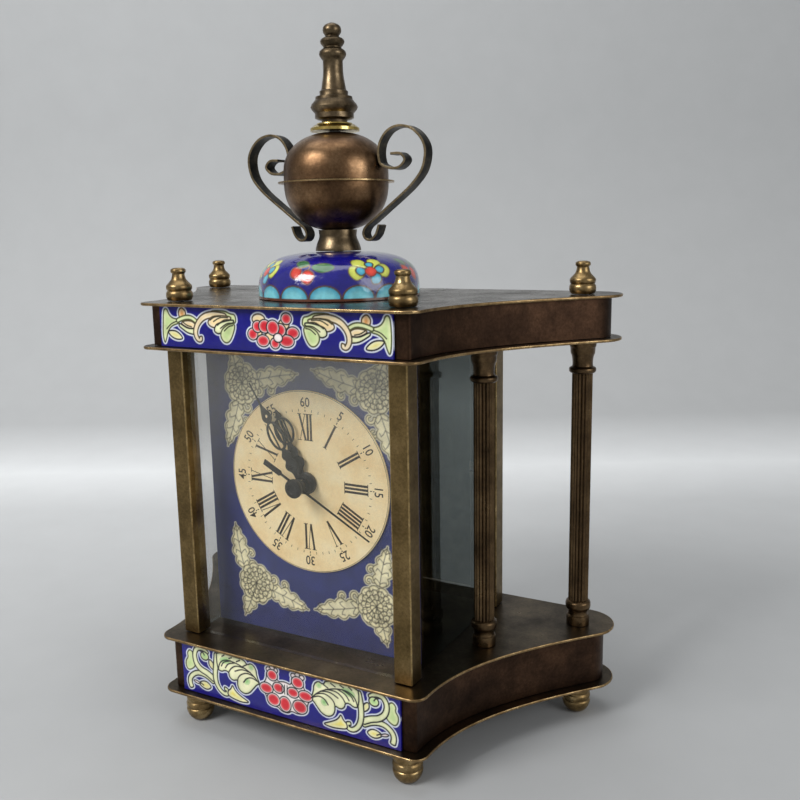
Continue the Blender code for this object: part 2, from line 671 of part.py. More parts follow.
def gear(module, teeth, phase=0):
    """Outline of a wheel or pinion with one tooth at the phase angle."""
    radius = pitch_radius(module, teeth)
    tip = radius + module * TOOTH_TIP_SHARE
    root = radius - module * TOOTH_ROOT_SHARE
    outline = []
    for tooth in range(teeth):
        for reach, shift in ((tip, 0), (root, TOOTH_GAP_SHARE)):
            angle = phase + math.tau * (tooth + shift) / teeth
            outline.append((reach * math.cos(angle), reach * math.sin(angle)))
    return outline


def meshed_phase(phase, teeth, direction, other_teeth):
    """Phase of a wheel in mesh with another, seen from the other along direction."""
    return direction + math.pi - (phase - direction) * teeth / other_teeth + math.pi / other_teeth


def stepped(centre, direction, distance):
    """The point at a distance and a direction from a centre."""
    return (centre[0] + distance * math.cos(direction), centre[1] + distance * math.sin(direction))


def mesh_distance(module, teeth, other_teeth):
    """Distance between the axes of two wheels in mesh."""
    return pitch_radius(module, teeth) + pitch_radius(module, other_teeth)


# Axes of the movement, measured from the dial's centre
MINUTE_WHEEL_AXIS = stepped(
    (0, 0), MINUTE_WHEEL_DIRECTION, mesh_distance(MOTION_MODULE, CANNON_TEETH, MINUTE_WHEEL_TEETH),
)
THIRD_AXIS = stepped(
    (0, 0), THIRD_DIRECTION, mesh_distance(TRAIN_MODULE, TRAIN_PINION_TEETH, THIRD_TEETH),
)
CENTRE_AXIS = stepped(
    THIRD_AXIS, CENTRE_DIRECTION, mesh_distance(TRAIN_MODULE, TRAIN_PINION_TEETH, CENTRE_TEETH),
)
GREAT_AXIS = stepped(
    CENTRE_AXIS, GREAT_DIRECTION, mesh_distance(GREAT_MODULE, CENTRE_PINION_TEETH, GREAT_TEETH),
)
ESCAPE_AXIS = stepped(
    (0, 0), ESCAPE_DIRECTION, mesh_distance(FOURTH_MODULE, FOURTH_TEETH, TRAIN_PINION_TEETH),
)
LEVER_AXIS = stepped(ESCAPE_AXIS, LEVER_DIRECTION, ESCAPE_TO_LEVER)
BALANCE_AXIS = stepped(LEVER_AXIS, LEVER_DIRECTION, LEVER_TO_BALANCE)


def arbor(front, back, radius=ARBOR_RADIUS):
    """A plain round arbor between two depths."""
    return layer(circle(radius, ARBOR_SIDES), front, back)


def wheel(outline, share):
    """A toothed wheel in a layer between the plates."""
    front = train_y(share)
    return layer(outline, front, front + WHEEL_THICKNESS)


def pinion(outline, share):
    """A pinion a little longer than the wheel that it meets."""
    front = train_y(share)
    return layer(outline, front - PINION_OVERRUN, front + WHEEL_THICKNESS + PINION_OVERRUN)


def movement_arbor():
    """An arbor with a pivot in each movement plate."""
    return arbor(FRONT_PLATE_Y, MOVEMENT_BACK_Y)


def make_movement_frame():
    """Two round plates bored for the arbors; the front one carries riveted posts."""
    pivots = [
        ((0, 0), CANNON_RADIUS + RUNNING_GAP),
        (MINUTE_WHEEL_AXIS, ARBOR_RADIUS + RUNNING_GAP),
        (THIRD_AXIS, ARBOR_RADIUS + RUNNING_GAP),
        (CENTRE_AXIS, ARBOR_RADIUS + RUNNING_GAP),
        (GREAT_AXIS, WINDING_ARBOR_RADIUS + RUNNING_GAP),
        (ESCAPE_AXIS, ARBOR_RADIUS + RUNNING_GAP),
        (LEVER_AXIS, ARBOR_RADIUS + RUNNING_GAP),
        (BALANCE_AXIS, ARBOR_RADIUS + RUNNING_GAP),
    ]
    for name, front in (("front", FRONT_PLATE_Y), ("back", BACK_PLATE_Y)):
        back = front + MOVEMENT_PLATE_THICKNESS
        plate = layer(circle(MOVEMENT_PLATE_RADIUS, DIAL_SIDES), front, back)
        for centre, radius in pivots:
            if name == "back" and centre == (0, 0):
                radius = ARBOR_RADIUS + RUNNING_GAP
            drill = circle(radius, ARBOR_SIDES, centre)
            cut(plate, layer(drill, front - CUT_OVERRUN, back + CUT_OVERRUN))
        if name == "front":
            add_posts(plate)
        place_in_movement(plate, f"movement_{name}_plate", "polished_brass")


def add_posts(plate):
    """Rivet four posts through the front plate, from the dial panel to the back plate."""
    for sign_x in (-1, 1):
        for sign_z in (-1, 1):
            foot = (sign_x * MOVEMENT_POST_OFFSET, sign_z * MOVEMENT_POST_OFFSET)
            section = circle(MOVEMENT_POST_RADIUS, ARBOR_SIDES, foot)
            unite(plate, layer(section, PANEL_BACK_Y + SEAT_GAP, BACK_PLATE_Y - SEAT_GAP))


def make_motion_work():
    """Cannon pinion, minute wheel with its setting knob, and hour wheel."""
    wheel_back = FRONT_PLATE_Y - RUNNING_GAP
    wheel_front = wheel_back - WHEEL_THICKNESS
    hour_front = PANEL_BACK_Y + RUNNING_GAP
    hour_back = hour_front + WHEEL_THICKNESS
    tube_front = DIAL_FRONT_Y - MINUTE_HAND_STANDOFF - HAND_THICKNESS
    bore = ARBOR_RADIUS + RUNNING_GAP
    cannon = unite(
        layer(gear(MOTION_MODULE, CANNON_TEETH), wheel_front - PINION_OVERRUN, wheel_back),
        layer(circle(CANNON_RADIUS, ARBOR_SIDES), tube_front, wheel_front),
    )
    cut(cannon, arbor(tube_front - CUT_OVERRUN, wheel_back + CUT_OVERRUN, bore))
    place_in_movement(cannon, "cannon_pinion", "steel")

    direction = MINUTE_WHEEL_DIRECTION
    phase = meshed_phase(0, CANNON_TEETH, direction, MINUTE_WHEEL_TEETH)
    knob_front = MOVEMENT_BACK_Y + SETTING_ARBOR_REACH
    minute_wheel = unite(
        layer(gear(MOTION_MODULE, MINUTE_WHEEL_TEETH, phase), wheel_front, wheel_back),
        layer(gear(MOTION_MODULE, MINUTE_PINION_TEETH), hour_front, wheel_front + WHEEL_THICKNESS / 2),
        arbor(wheel_front + WHEEL_THICKNESS / 2, knob_front + SETTING_KNOB_THICKNESS / 2),
        arbor(knob_front, knob_front + SETTING_KNOB_THICKNESS, SETTING_KNOB_RADIUS),
    )
    place_in_movement(minute_wheel, "minute_wheel", "polished_brass", MINUTE_WHEEL_AXIS)

    back_direction = direction + math.pi
    phase = meshed_phase(0, MINUTE_PINION_TEETH, back_direction, HOUR_WHEEL_TEETH)
    pipe_front = DIAL_FRONT_Y - HOUR_HAND_STANDOFF - HAND_THICKNESS
    hour_wheel = unite(
        layer(gear(MOTION_MODULE, HOUR_WHEEL_TEETH, phase), hour_front, hour_back),
        arbor(pipe_front, hour_front + WHEEL_THICKNESS / 2, HOUR_PIPE_RADIUS),
    )
    cut(hour_wheel, arbor(pipe_front - CUT_OVERRUN, hour_back + CUT_OVERRUN, HOUR_PIPE_BORE))
    place_in_movement(hour_wheel, "hour_wheel", "polished_brass")


def make_going_train():
    """Great, centre, third, fourth and escape wheels with their pinions."""
    great_phase = 0
    centre_pinion_phase = meshed_phase(
        great_phase, GREAT_TEETH, GREAT_DIRECTION + math.pi, CENTRE_PINION_TEETH,
    )
    third_pinion_phase = meshed_phase(
        0, CENTRE_TEETH, CENTRE_DIRECTION + math.pi, TRAIN_PINION_TEETH,
    )
    fourth_pinion_phase = meshed_phase(
        0, THIRD_TEETH, THIRD_DIRECTION + math.pi, TRAIN_PINION_TEETH,
    )
    escape_pinion_phase = meshed_phase(0, FOURTH_TEETH, ESCAPE_DIRECTION, TRAIN_PINION_TEETH)

    great = wheel(gear(GREAT_MODULE, GREAT_TEETH, great_phase), GREAT_LAYER_SHARE)
    front = train_y(GREAT_LAYER_SHARE)
    bore = WINDING_ARBOR_RADIUS + SEAT_GAP
    cut(great, arbor(front - CUT_OVERRUN, front + WHEEL_THICKNESS + CUT_OVERRUN, bore))
    place_in_movement(great, "great_wheel", "polished_brass", GREAT_AXIS)

    centre = unite(
        movement_arbor(),
        wheel(gear(TRAIN_MODULE, CENTRE_TEETH), CENTRE_LAYER_SHARE),
        pinion(gear(GREAT_MODULE, CENTRE_PINION_TEETH, centre_pinion_phase), GREAT_LAYER_SHARE),
    )
    place_in_movement(centre, "centre_wheel", "polished_brass", CENTRE_AXIS)

    third = unite(
        movement_arbor(),
        wheel(gear(TRAIN_MODULE, THIRD_TEETH), THIRD_LAYER_SHARE),
        pinion(gear(TRAIN_MODULE, TRAIN_PINION_TEETH, third_pinion_phase), CENTRE_LAYER_SHARE),
    )
    place_in_movement(third, "third_wheel", "polished_brass", THIRD_AXIS)

    boss_back = DIAL_FRONT_Y - SECONDS_HAND_STANDOFF
    fourth = unite(
        arbor(boss_back - HAND_THICKNESS, MOVEMENT_BACK_Y),
        wheel(gear(FOURTH_MODULE, FOURTH_TEETH), FOURTH_LAYER_SHARE),
        pinion(gear(TRAIN_MODULE, TRAIN_PINION_TEETH, fourth_pinion_phase), THIRD_LAYER_SHARE),
    )
    place_in_movement(fourth, "fourth_wheel", "polished_brass")

    escape_outline = []
    escape_root = ESCAPE_RADIUS - ESCAPE_TOOTH_DEPTH
    for tooth in range(ESCAPE_TEETH):
        for reach, shift in ((ESCAPE_RADIUS, 0), (escape_root, ESCAPE_TOOTH_GAP_SHARE)):
            angle = math.tau * (tooth + shift) / ESCAPE_TEETH
            escape_outline.append((reach * math.cos(angle), reach * math.sin(angle)))
    escape = unite(
        movement_arbor(),
        wheel(escape_outline, ESCAPE_LAYER_SHARE),
        pinion(gear(FOURTH_MODULE, TRAIN_PINION_TEETH, escape_pinion_phase), FOURTH_LAYER_SHARE),
    )
    place_in_movement(escape, "escape_wheel", "polished_brass", ESCAPE_AXIS)


def turned_about_pivot(points):
    """Turn points so that their second axis runs from the lever to the balance."""
    angle = LEVER_DIRECTION - math.pi / 2
    cos, sin = math.cos(angle), math.sin(angle)
    return [(x * cos - y * sin, x * sin + y * cos) for x, y in points]


def make_escapement():
    """Pin-pallet lever, balance wheel and hairspring."""
    fork = [(x * LEVER_TO_BALANCE, y * LEVER_TO_BALANCE) for x, y in LEVER_FORK_SHARES]
    arms = [(x * ESCAPE_TO_LEVER, y * ESCAPE_TO_LEVER) for x, y in LEVER_ARM_SHARES]
    half = arms + fork
    outline = half + [(-x, y) for x, y in reversed(half)]
    front = train_y(LEVER_LAYER_SHARE)
    pin_x, pin_y = (share * ESCAPE_TO_LEVER for share in PALLET_PIN_PLACE_SHARES)
    lever = unite(
        movement_arbor(), layer(turned_about_pivot(outline), front, front + WHEEL_THICKNESS),
    )
    for sign in (-1, 1):
        pin_centre = turned_about_pivot([(sign * pin_x, pin_y)])[0]
        section = circle(PALLET_PIN_RADIUS, ARBOR_SIDES, pin_centre)
        unite(lever, layer(section, train_y(ESCAPE_LAYER_SHARE), front + WHEEL_THICKNESS / 2))
    place_in_movement(lever, "pallet_lever", "steel", LEVER_AXIS)

    front = train_y(BALANCE_LAYER_SHARE)
    back = front + WHEEL_THICKNESS
    rim = ring_prism(
        circle(BALANCE_RADIUS, DIAL_SIDES // 2), circle(BALANCE_RADIUS - BALANCE_RIM, DIAL_SIDES // 2),
        TRAIN_Y - back, TRAIN_Y - front,
    )
    reach = BALANCE_RADIUS - BALANCE_RIM / 2
    bar = rectangle(-reach, reach, -BALANCE_BAR_WIDTH / 2, BALANCE_BAR_WIDTH / 2)
    roller_front = train_y(LEVER_LAYER_SHARE)
    balance = unite(
        rim,
        layer(bar, front + WHEEL_THICKNESS / 4, back - WHEEL_THICKNESS / 4),
        movement_arbor(),
        arbor(roller_front, roller_front + WHEEL_THICKNESS, ROLLER_RADIUS),
    )
    place_in_movement(balance, "balance_wheel", "polished_brass", BALANCE_AXIS)

    inner = ARBOR_RADIUS + SEAT_GAP + HAIRSPRING_THICKNESS / 2
    front = train_y(HAIRSPRING_LAYER_SHARE)
    coil = spiral(inner, HAIRSPRING_RADIUS, HAIRSPRING_TURNS, HAIRSPRING_THICKNESS)
    hairspring = layer(coil, front, front + HAIRSPRING_HEIGHT)
    place_in_movement(hairspring, "hairspring", "steel", BALANCE_AXIS)


def spiral(inner, outer, turns, thickness):
    """Outline of a flat spiral strip."""
    steps = turns * SPRING_STEPS
    sides = ([], [])
    for step in range(steps + 1):
        radius = inner + (outer - inner) * step / steps
        angle = math.tau * step / SPRING_STEPS
        for side, shift in zip(sides, (thickness / 2, -thickness / 2)):
            side.append(((radius + shift) * math.cos(angle), (radius + shift) * math.sin(angle)))
    return sides[0] + sides[1][::-1]


def make_winding():
    """Winding arbor, its key and the mainspring round the arbor."""
    spring_front = train_y(MAINSPRING_LAYER_SHARE)
    spring_back = train_y(MAINSPRING_END_SHARE)
    inner = WINDING_ARBOR_RADIUS + SEAT_GAP + MAINSPRING_THICKNESS / 2
    coil = spiral(inner, MAINSPRING_RADIUS, MAINSPRING_TURNS, MAINSPRING_THICKNESS)
    place_in_movement(layer(coil, spring_front, spring_back), "mainspring", "steel", GREAT_AXIS)

    end = MOVEMENT_BACK_Y + WINDING_ARBOR_REACH
    shaft = arbor(FRONT_PLATE_Y, end, WINDING_ARBOR_RADIUS)
    place_in_movement(shaft, "winding_arbor", "steel", GREAT_AXIS)

    hub_front = MOVEMENT_BACK_Y + RUNNING_GAP
    hub_back = hub_front + KEY_HUB_LENGTH
    wing = rectangle(
        -KEY_WING_SPAN / 2, KEY_WING_SPAN / 2, -KEY_WING_THICKNESS / 2, KEY_WING_THICKNESS / 2,
    )
    key = unite(
        arbor(hub_front, hub_back, KEY_HUB_RADIUS),
        layer(wing, hub_back - KEY_HUB_RADIUS / 2, hub_back + KEY_WING_HEIGHT),
    )
    socket = WINDING_ARBOR_RADIUS + SEAT_GAP
    cut(key, arbor(hub_front - CUT_OVERRUN, end + SEAT_GAP, socket))
    place_in_movement(key, "winding_key", "steel", GREAT_AXIS)


def hand_outline(shares, length, boss):
    """Outline of a symmetric hand that points along +Y, from its boss to its tip."""
    neck = length * shares[0][1]
    right = [(neck, math.sqrt(boss ** 2 - neck ** 2))]
    right += [(length * across, length * along) for along, across in shares[1:]]
    first_angle = math.acos(neck / boss)
    span = math.pi + 2 * first_angle
    loop = []
    for step in range(1, ARBOR_SIDES):
        angle = math.pi - first_angle + span * step / ARBOR_SIDES
        loop.append((boss * math.cos(angle), boss * math.sin(angle)))
    left = [(-x, y) for x, y in reversed(right) if x > 0]
    return right + left + loop


def hand(shares, hole_shares, length, bore, standoff):
    """A flat pierced hand in its own frame, with the frame's Z towards the viewer."""
    front = DIAL_FRONT_Y - standoff - HAND_THICKNESS
    back = DIAL_FRONT_Y - standoff
    blade = layer(hand_outline(shares, length, HAND_BOSS_RADIUS), front, back)
    right = [(length * across, length * along) for along, across in hole_shares]
    window = right + [(-x, y) for x, y in reversed(right)]
    cut(
        blade,
        layer(window, front - CUT_OVERRUN, back + CUT_OVERRUN),
        arbor(front - CUT_OVERRUN, back + CUT_OVERRUN, bore),
    )
    return blade


def make_hands():
    """Hour, minute and seconds hands at the time the clock shows."""
    pieces = (
        ("hour_hand", hand(
            HOUR_HAND_SHARES, HOUR_HAND_HOLE_SHARES, HOUR_HAND_LENGTH,
            HOUR_PIPE_RADIUS + SEAT_GAP, HOUR_HAND_STANDOFF,
        ), HOUR_ANGLE),
        ("minute_hand", hand(
            MINUTE_HAND_SHARES, MINUTE_HAND_HOLE_SHARES, MINUTE_HAND_LENGTH,
            CANNON_RADIUS + SEAT_GAP, MINUTE_HAND_STANDOFF,
        ), MINUTE_ANGLE),
        ("seconds_hand", seconds_hand(), SECONDS_ANGLE),
    )
    for name, shape, angle in pieces:
        shape.data.transform(Matrix.Rotation(-angle, 4, "Z"))
        place_in_movement(shape, name, "black_steel")


def seconds_hand():
    """A plain sweep hand with a counterweight and a boss capped at the front."""
    back = DIAL_FRONT_Y - SECONDS_HAND_STANDOFF
    front = back - HAND_THICKNESS
    half = SECONDS_HAND_WIDTH / 2
    weight = SECONDS_WEIGHT_WIDTH / 2
    weight_top = SECONDS_WEIGHT_LENGTH - SECONDS_TAIL_LENGTH
    right = [
        (weight, -SECONDS_TAIL_LENGTH), (weight, weight_top), (half, weight_top), (half, 0),
        (half / 2, SECONDS_HAND_LENGTH),
    ]
    blade = right + [(-x, y) for x, y in reversed(right)]
    shape = unite(
        layer(blade, front, back),
        arbor(back - SECONDS_BOSS_HEIGHT, back + HAND_THICKNESS / 2, SECONDS_BOSS_RADIUS),
    )
    cut(shape, arbor(front - SEAT_GAP, back + CUT_OVERRUN, ARBOR_RADIUS + SEAT_GAP))
    return shape


def superellipse(radius, height, fullness, steps, hole):
    """Quarter outline (radius, height) from the rim up to a hole at the pole."""
    points = []
    for step in range(steps + 1):
        angle = math.pi / 2 * step / steps
        across = radius * math.cos(angle) ** (2 / fullness)
        up = height * math.sin(angle) ** (2 / fullness)
        points.append((max(across, hole), up))
    return points


def shell(outer, inner, sides):
    """A turned shell between an outer and an inner outline, both rim to pole."""
    return turned(outer + inner[::-1], sides, closed=True)


def make_dome():
    """The domed enamel shell that the urn stands on."""
    hole = TIE_BOLT_RADIUS + RUNNING_GAP
    outer = superellipse(DOME_RADIUS, DOME_HEIGHT, DOME_FULLNESS_SHARE, DOME_STEPS, hole)
    inner = superellipse(
        DOME_RADIUS - DOME_WALL, DOME_HEIGHT - DOME_WALL, DOME_FULLNESS_SHARE, DOME_STEPS // 2, hole,
    )
    place(shell(outer, inner, DOME_SIDES), "enamel_dome", "cobalt_enamel", (0, 0, ORNAMENT_Z))


def bowl_rise(radius):
    """Height of the lower bowl's underside at a radius, above its pole."""
    drop = 1 - (radius / URN_RADIUS) ** URN_FULLNESS_SHARE
    return URN_LOWER_HEIGHT * (1 - drop ** (1 / URN_FULLNESS_SHARE))


def make_urn():
    """The urn's foot, its two bowls, washer and spire, all clamped by one bolt."""
    hole = TIE_BOLT_RADIUS + RUNNING_GAP
    foot = [(hole, 0)] + scaled_profile(URN_FOOT_SHARES, URN_FOOT_RADIUS, URN_FOOT_HEIGHT)
    rim = foot.pop()[0]
    foot += [(rim, URN_FOOT_HEIGHT + bowl_rise(rim)), (hole, URN_FOOT_HEIGHT)]
    place(turned(foot, TURNED_SIDES, closed=True), "urn_foot", "urn_bronze", (0, 0, URN_FOOT_Z))

    outer = superellipse(URN_RADIUS, URN_LOWER_HEIGHT, URN_FULLNESS_SHARE, URN_STEPS, hole)
    inner_radius = URN_RADIUS - URN_WALL
    inner = superellipse(
        inner_radius, URN_LOWER_HEIGHT - URN_WALL, URN_FULLNESS_SHARE, URN_STEPS - 2, hole,
    )
    lower = [(radius, -up) for radius, up in outer]
    lower_inner = [(radius, -up) for radius, up in inner]
    rim = [
        (inner_radius, URN_FLANGE_THICKNESS), (URN_FLANGE_RADIUS, URN_FLANGE_THICKNESS),
        (URN_FLANGE_RADIUS, 0),
    ]
    bowl = turned(lower[::-1] + rim[::-1] + lower_inner, URN_SIDES, closed=True)
    place(bowl, "urn_lower_bowl", "urn_bronze", (0, 0, FLANGE_Z))

    crown = superellipse(URN_RADIUS, URN_UPPER_HEIGHT, URN_FULLNESS_SHARE, URN_STEPS, hole)
    crown_inner = superellipse(
        inner_radius, URN_UPPER_HEIGHT - URN_WALL, URN_FULLNESS_SHARE, URN_STEPS - 2, hole,
    )
    outer = [(URN_RADIUS, 0)] + [(radius, up + URN_BAND_HEIGHT) for radius, up in crown]
    inner = [(inner_radius, 0)] + [(radius, up + URN_BAND_HEIGHT) for radius, up in crown_inner]
    cover = shell(outer, inner, URN_SIDES)
    place(cover, "urn_upper_bowl", "urn_bronze", (0, 0, UPPER_BOWL_Z))

    neck = SPIRE_RADIUS * SPIRE_PROFILE_SHARES[0][0]
    washer = [(hole, 0), (WASHER_RADIUS, 0), (WASHER_RADIUS, WASHER_HEIGHT / 3), (neck, WASHER_HEIGHT)]
    washer.append((hole, WASHER_HEIGHT))
    place(turned(washer, URN_SIDES, closed=True), "urn_washer", "polished_brass", (0, 0, WASHER_Z))

    profile = [(0, TIE_BOLT_GRIP), (hole, TIE_BOLT_GRIP), (hole, 0)]
    profile += scaled_profile(SPIRE_PROFILE_SHARES, SPIRE_RADIUS, SPIRE_HEIGHT)
    place(turned(profile, TURNED_SIDES), "urn_spire", "turned_brass", (0, 0, SPIRE_Z))

    head_top = ROOF_Z - SEAT_GAP
    tip = SPIRE_Z + TIE_BOLT_GRIP - SEAT_GAP
    bolt = unite(
        prism(circle(TIE_BOLT_RADIUS, ARBOR_SIDES), head_top - TIE_BOLT_HEAD_HEIGHT / 2, tip),
        prism(circle(TIE_BOLT_HEAD_RADIUS, TIE_BOLT_HEAD_SIDES), head_top - TIE_BOLT_HEAD_HEIGHT, head_top),
    )
    place(bolt, "urn_tie_bolt", "steel")


def smooth_path(points, steps):
    """Points along a smooth curve through the given ones."""
    ends = [points[0] * 2 - points[1]] + points + [points[-1] * 2 - points[-2]]
    path = []
    for before, start, end, after in zip(ends, ends[1:], ends[2:], ends[3:]):
        pull_out = start + (end - before) * CURVE_PULL_SHARE
        pull_in = end - (after - start) * CURVE_PULL_SHARE
        for step in range(steps):
            path.append(Vector(cubic((start, pull_out, pull_in, end), step / steps)))
    path.append(points[-1])
    return path


def strap_outline(path, thickness):
    """Outline of a strap of even thickness along a path."""
    sides = ([], [])
    for index, point in enumerate(path):
        before = path[max(index - 1, 0)]
        after = path[min(index + 1, len(path) - 1)]
        along = (after - before).normalized()
        across = Vector((-along.y, along.x)) * thickness / 2
        sides[0].append(tuple(point + across))
        sides[1].append(tuple(point - across))
    return sides[0] + sides[1][::-1]


def make_handles():
    """Two scrolled strap handles beside the urn's bowls."""
    upper = URN_BAND_HEIGHT + URN_UPPER_HEIGHT
    points = []
    for radius_share, standoff_share, height_share in HANDLE_PATH_SHARES:
        across = URN_RADIUS * radius_share + HANDLE_STANDOFF * standoff_share
        reach = upper if height_share > 0 else URN_LOWER_HEIGHT
        points.append(Vector((across, reach * height_share)))
    outline = strap_outline(smooth_path(points, HANDLE_STEPS), HANDLE_THICKNESS)
    for side, turn in (("right", 0), ("left", math.pi)):
        strap = prism(outline, -HANDLE_WIDTH / 2, HANDLE_WIDTH / 2)
        strap.data.transform(Matrix.Rotation(turn, 4, "Z") @ Matrix.Rotation(math.pi / 2, 4, "X"))
        place(strap, f"urn_{side}_handle", "dark_iron", (0, 0, FLANGE_Z))


DOOR_HALF_WIDTH = PILLAR_INNER_X - DOOR_SIDE_GAP
DOOR_REAR_Y = BACK_Y - REAR_PILLAR_SETBACK - DOOR_INSET
DOOR_Y = DOOR_REAR_Y - DOOR_THICKNESS / 2
DOOR_PIVOT_X = -DOOR_HALF_WIDTH + DOOR_PIVOT_INSET
LATCH_X = DOOR_HALF_WIDTH - DOOR_STILE / 2


def make_door():
    """A pivoted rear door with its panel and a turning latch."""
    bottom = DOOR_END_GAP
    top = PILLAR_HEIGHT - DOOR_END_GAP
    low_x = -DOOR_PIVOT_INSET
    high_x = low_x + 2 * DOOR_HALF_WIDTH
    outer = rectangle(low_x, high_x, -top, -bottom)
    inner = rectangle(
        low_x + DOOR_STILE, high_x - DOOR_STILE, DOOR_STILE - top, -DOOR_STILE - bottom,
    )
    frame = ring_prism(outer, inner, -DOOR_THICKNESS / 2, DOOR_THICKNESS / 2)
    frame.data.transform(Matrix.Rotation(-math.pi / 2, 4, "X"))
    pin = circle(DOOR_PIVOT_RADIUS, ARBOR_SIDES)
    reach = SEAT_GAP + PLATE_THICKNESS
    unite(
        frame,
        prism(pin, -reach, bottom + DOOR_STILE / 2),
        prism(pin, top - DOOR_STILE / 2, PILLAR_HEIGHT + reach),
    )
    latch_z = PILLAR_HEIGHT / 2
    drill = prism(
        circle(LATCH_SHAFT_RADIUS + RUNNING_GAP, ARBOR_SIDES), -DOOR_THICKNESS, DOOR_THICKNESS,
    )
    place_hole = Matrix.Translation((LATCH_X - DOOR_PIVOT_X, 0, latch_z))
    drill.data.transform(place_hole @ Matrix.Rotation(math.pi / 2, 4, "X"))
    cut(frame, drill)
    place(frame, "door_frame", "pillar_brass", (DOOR_PIVOT_X, DOOR_Y, PILLAR_Z))

    panel = box(
        (low_x + DOOR_STILE + SEAT_GAP, -DOOR_PANEL_THICKNESS / 2, bottom + DOOR_STILE + SEAT_GAP),
        (high_x - DOOR_STILE - SEAT_GAP, DOOR_PANEL_THICKNESS / 2, top - DOOR_STILE - SEAT_GAP),
    )
    place(panel, "door_panel", "door_brass", (DOOR_PIVOT_X, DOOR_Y, PILLAR_Z))

    knob_start = -DOOR_THICKNESS / 2 - SEAT_GAP
    pillar_front = REAR_PILLAR_Y - PILLAR_WIDTH / 2
    tongue_back = DOOR_Y - pillar_front + LATCH_PILLAR_GAP
    shaft = circle(LATCH_SHAFT_RADIUS, ARBOR_SIDES)
    tongue = rectangle(
        -LATCH_TONGUE_WIDTH / 2, LATCH_TONGUE_WIDTH / 2, -LATCH_TONGUE_WIDTH / 2, LATCH_TONGUE_LENGTH,
    )
    latch = unite(
        prism(circle(LATCH_KNOB_RADIUS, ARBOR_SIDES), knob_start - LATCH_KNOB_HEIGHT, knob_start),
        prism(shaft, knob_start - LATCH_KNOB_HEIGHT / 2, tongue_back + LATCH_TONGUE_THICKNESS / 2),
        prism(tongue, tongue_back, tongue_back + LATCH_TONGUE_THICKNESS),
    )
    place(
        latch, "door_latch", "turned_brass", (LATCH_X, DOOR_Y, PILLAR_Z + latch_z), FACING_FRONT,
    )


def build_clock():
    """Build every piece of the clock."""
    clear_scene()
    door_hole = (DOOR_PIVOT_X, DOOR_Y, DOOR_PIVOT_RADIUS + RUNNING_GAP)
    make_plate("base_bottom_plate", BOTTOM_PLATE_Z)
    make_plate("base_top_plate", DECK_Z, [door_hole])
    make_plate("top_lower_plate", CEILING_Z, [door_hole])
    make_plate("top_upper_plate", ROOF_Z, [(0, 0, TIE_BOLT_RADIUS + RUNNING_GAP)])
    make_box("base", BASE_WALL_Z, BASE_WALL_HEIGHT)
    make_box("top", TOP_WALL_Z, TOP_WALL_HEIGHT)
    make_pillars()
    make_columns()
    make_feet()
    make_finials()
    make_glazing()
    make_dial()
    make_movement_frame()
    make_motion_work()
    make_going_train()
    make_escapement()
    make_winding()
    make_hands()
    make_dome()
    make_urn()
    make_handles()
    make_door()


build_clock()
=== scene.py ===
"""Looks of the enamel mantel clock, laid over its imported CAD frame.

Units are metres unless a name says otherwise. Z is up and the dial faces -Y.
"""
import logging
import math
from collections.abc import Callable, Iterable, Iterator, Sequence
from contextlib import contextmanager
from dataclasses import dataclass, replace
from enum import Enum

import bpy
import numpy as np
from mathutils import Matrix, Vector


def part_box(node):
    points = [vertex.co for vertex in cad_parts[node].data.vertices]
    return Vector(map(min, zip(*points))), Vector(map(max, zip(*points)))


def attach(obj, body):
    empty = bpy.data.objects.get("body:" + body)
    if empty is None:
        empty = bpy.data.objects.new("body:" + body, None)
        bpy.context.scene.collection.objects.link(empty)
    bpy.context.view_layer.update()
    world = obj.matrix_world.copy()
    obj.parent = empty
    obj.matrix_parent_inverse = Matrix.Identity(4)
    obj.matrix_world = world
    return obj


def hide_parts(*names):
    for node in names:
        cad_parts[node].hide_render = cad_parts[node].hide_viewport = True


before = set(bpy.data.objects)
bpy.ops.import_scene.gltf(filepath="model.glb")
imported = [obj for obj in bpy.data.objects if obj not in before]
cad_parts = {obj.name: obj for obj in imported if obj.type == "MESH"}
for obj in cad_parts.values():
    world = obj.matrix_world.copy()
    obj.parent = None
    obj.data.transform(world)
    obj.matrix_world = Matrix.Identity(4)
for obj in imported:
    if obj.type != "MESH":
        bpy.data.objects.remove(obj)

LOG = logging.getLogger("clock")
MERGE_DISTANCE = 0.000001
SMOOTH_ANGLE = math.radians(35)
FLAT_ANGLE = math.radians(50)
BEVEL_ANGLE = math.radians(40)
DRILL_LENGTH = 0.01
DRILL_SIDES = 24
PIECE_GAP = 0.0003
MM = 0.001
SIDES = ("left", "right")

Pair = tuple[float, float]
Triple = tuple[float, float, float]
Colour = tuple[float, float, float, float]
Shape = bpy.types.Object


class Kind(Enum):
    """What edit mode selects."""

    CORNER = (True, False, False)
    EDGE = (False, True, False)
    FACE = (False, False, True)


def linear(red: float, green: float, blue: float) -> Colour:
    """A colour of 0 to 255 as the linear RGBA that a shader takes."""
    shares = (red / 255, green / 255, blue / 255)
    low = [share / 12.92 for share in shares]
    high = [((share + 0.055) / 1.055) ** 2.4 for share in shares]
    return (*(b if s > 0.04045 else a for s, a, b in zip(shares, low, high)), 1.0)


# ---------------------------------------------------------------- bench tools


def deselect_all() -> None:
    """Leave nothing selected."""
    bpy.ops.object.select_all(action="DESELECT")


def activate(shape: Shape) -> None:
    """Select one shape alone and make it active."""
    deselect_all()
    shape.select_set(True)
    bpy.context.view_layer.objects.active = shape


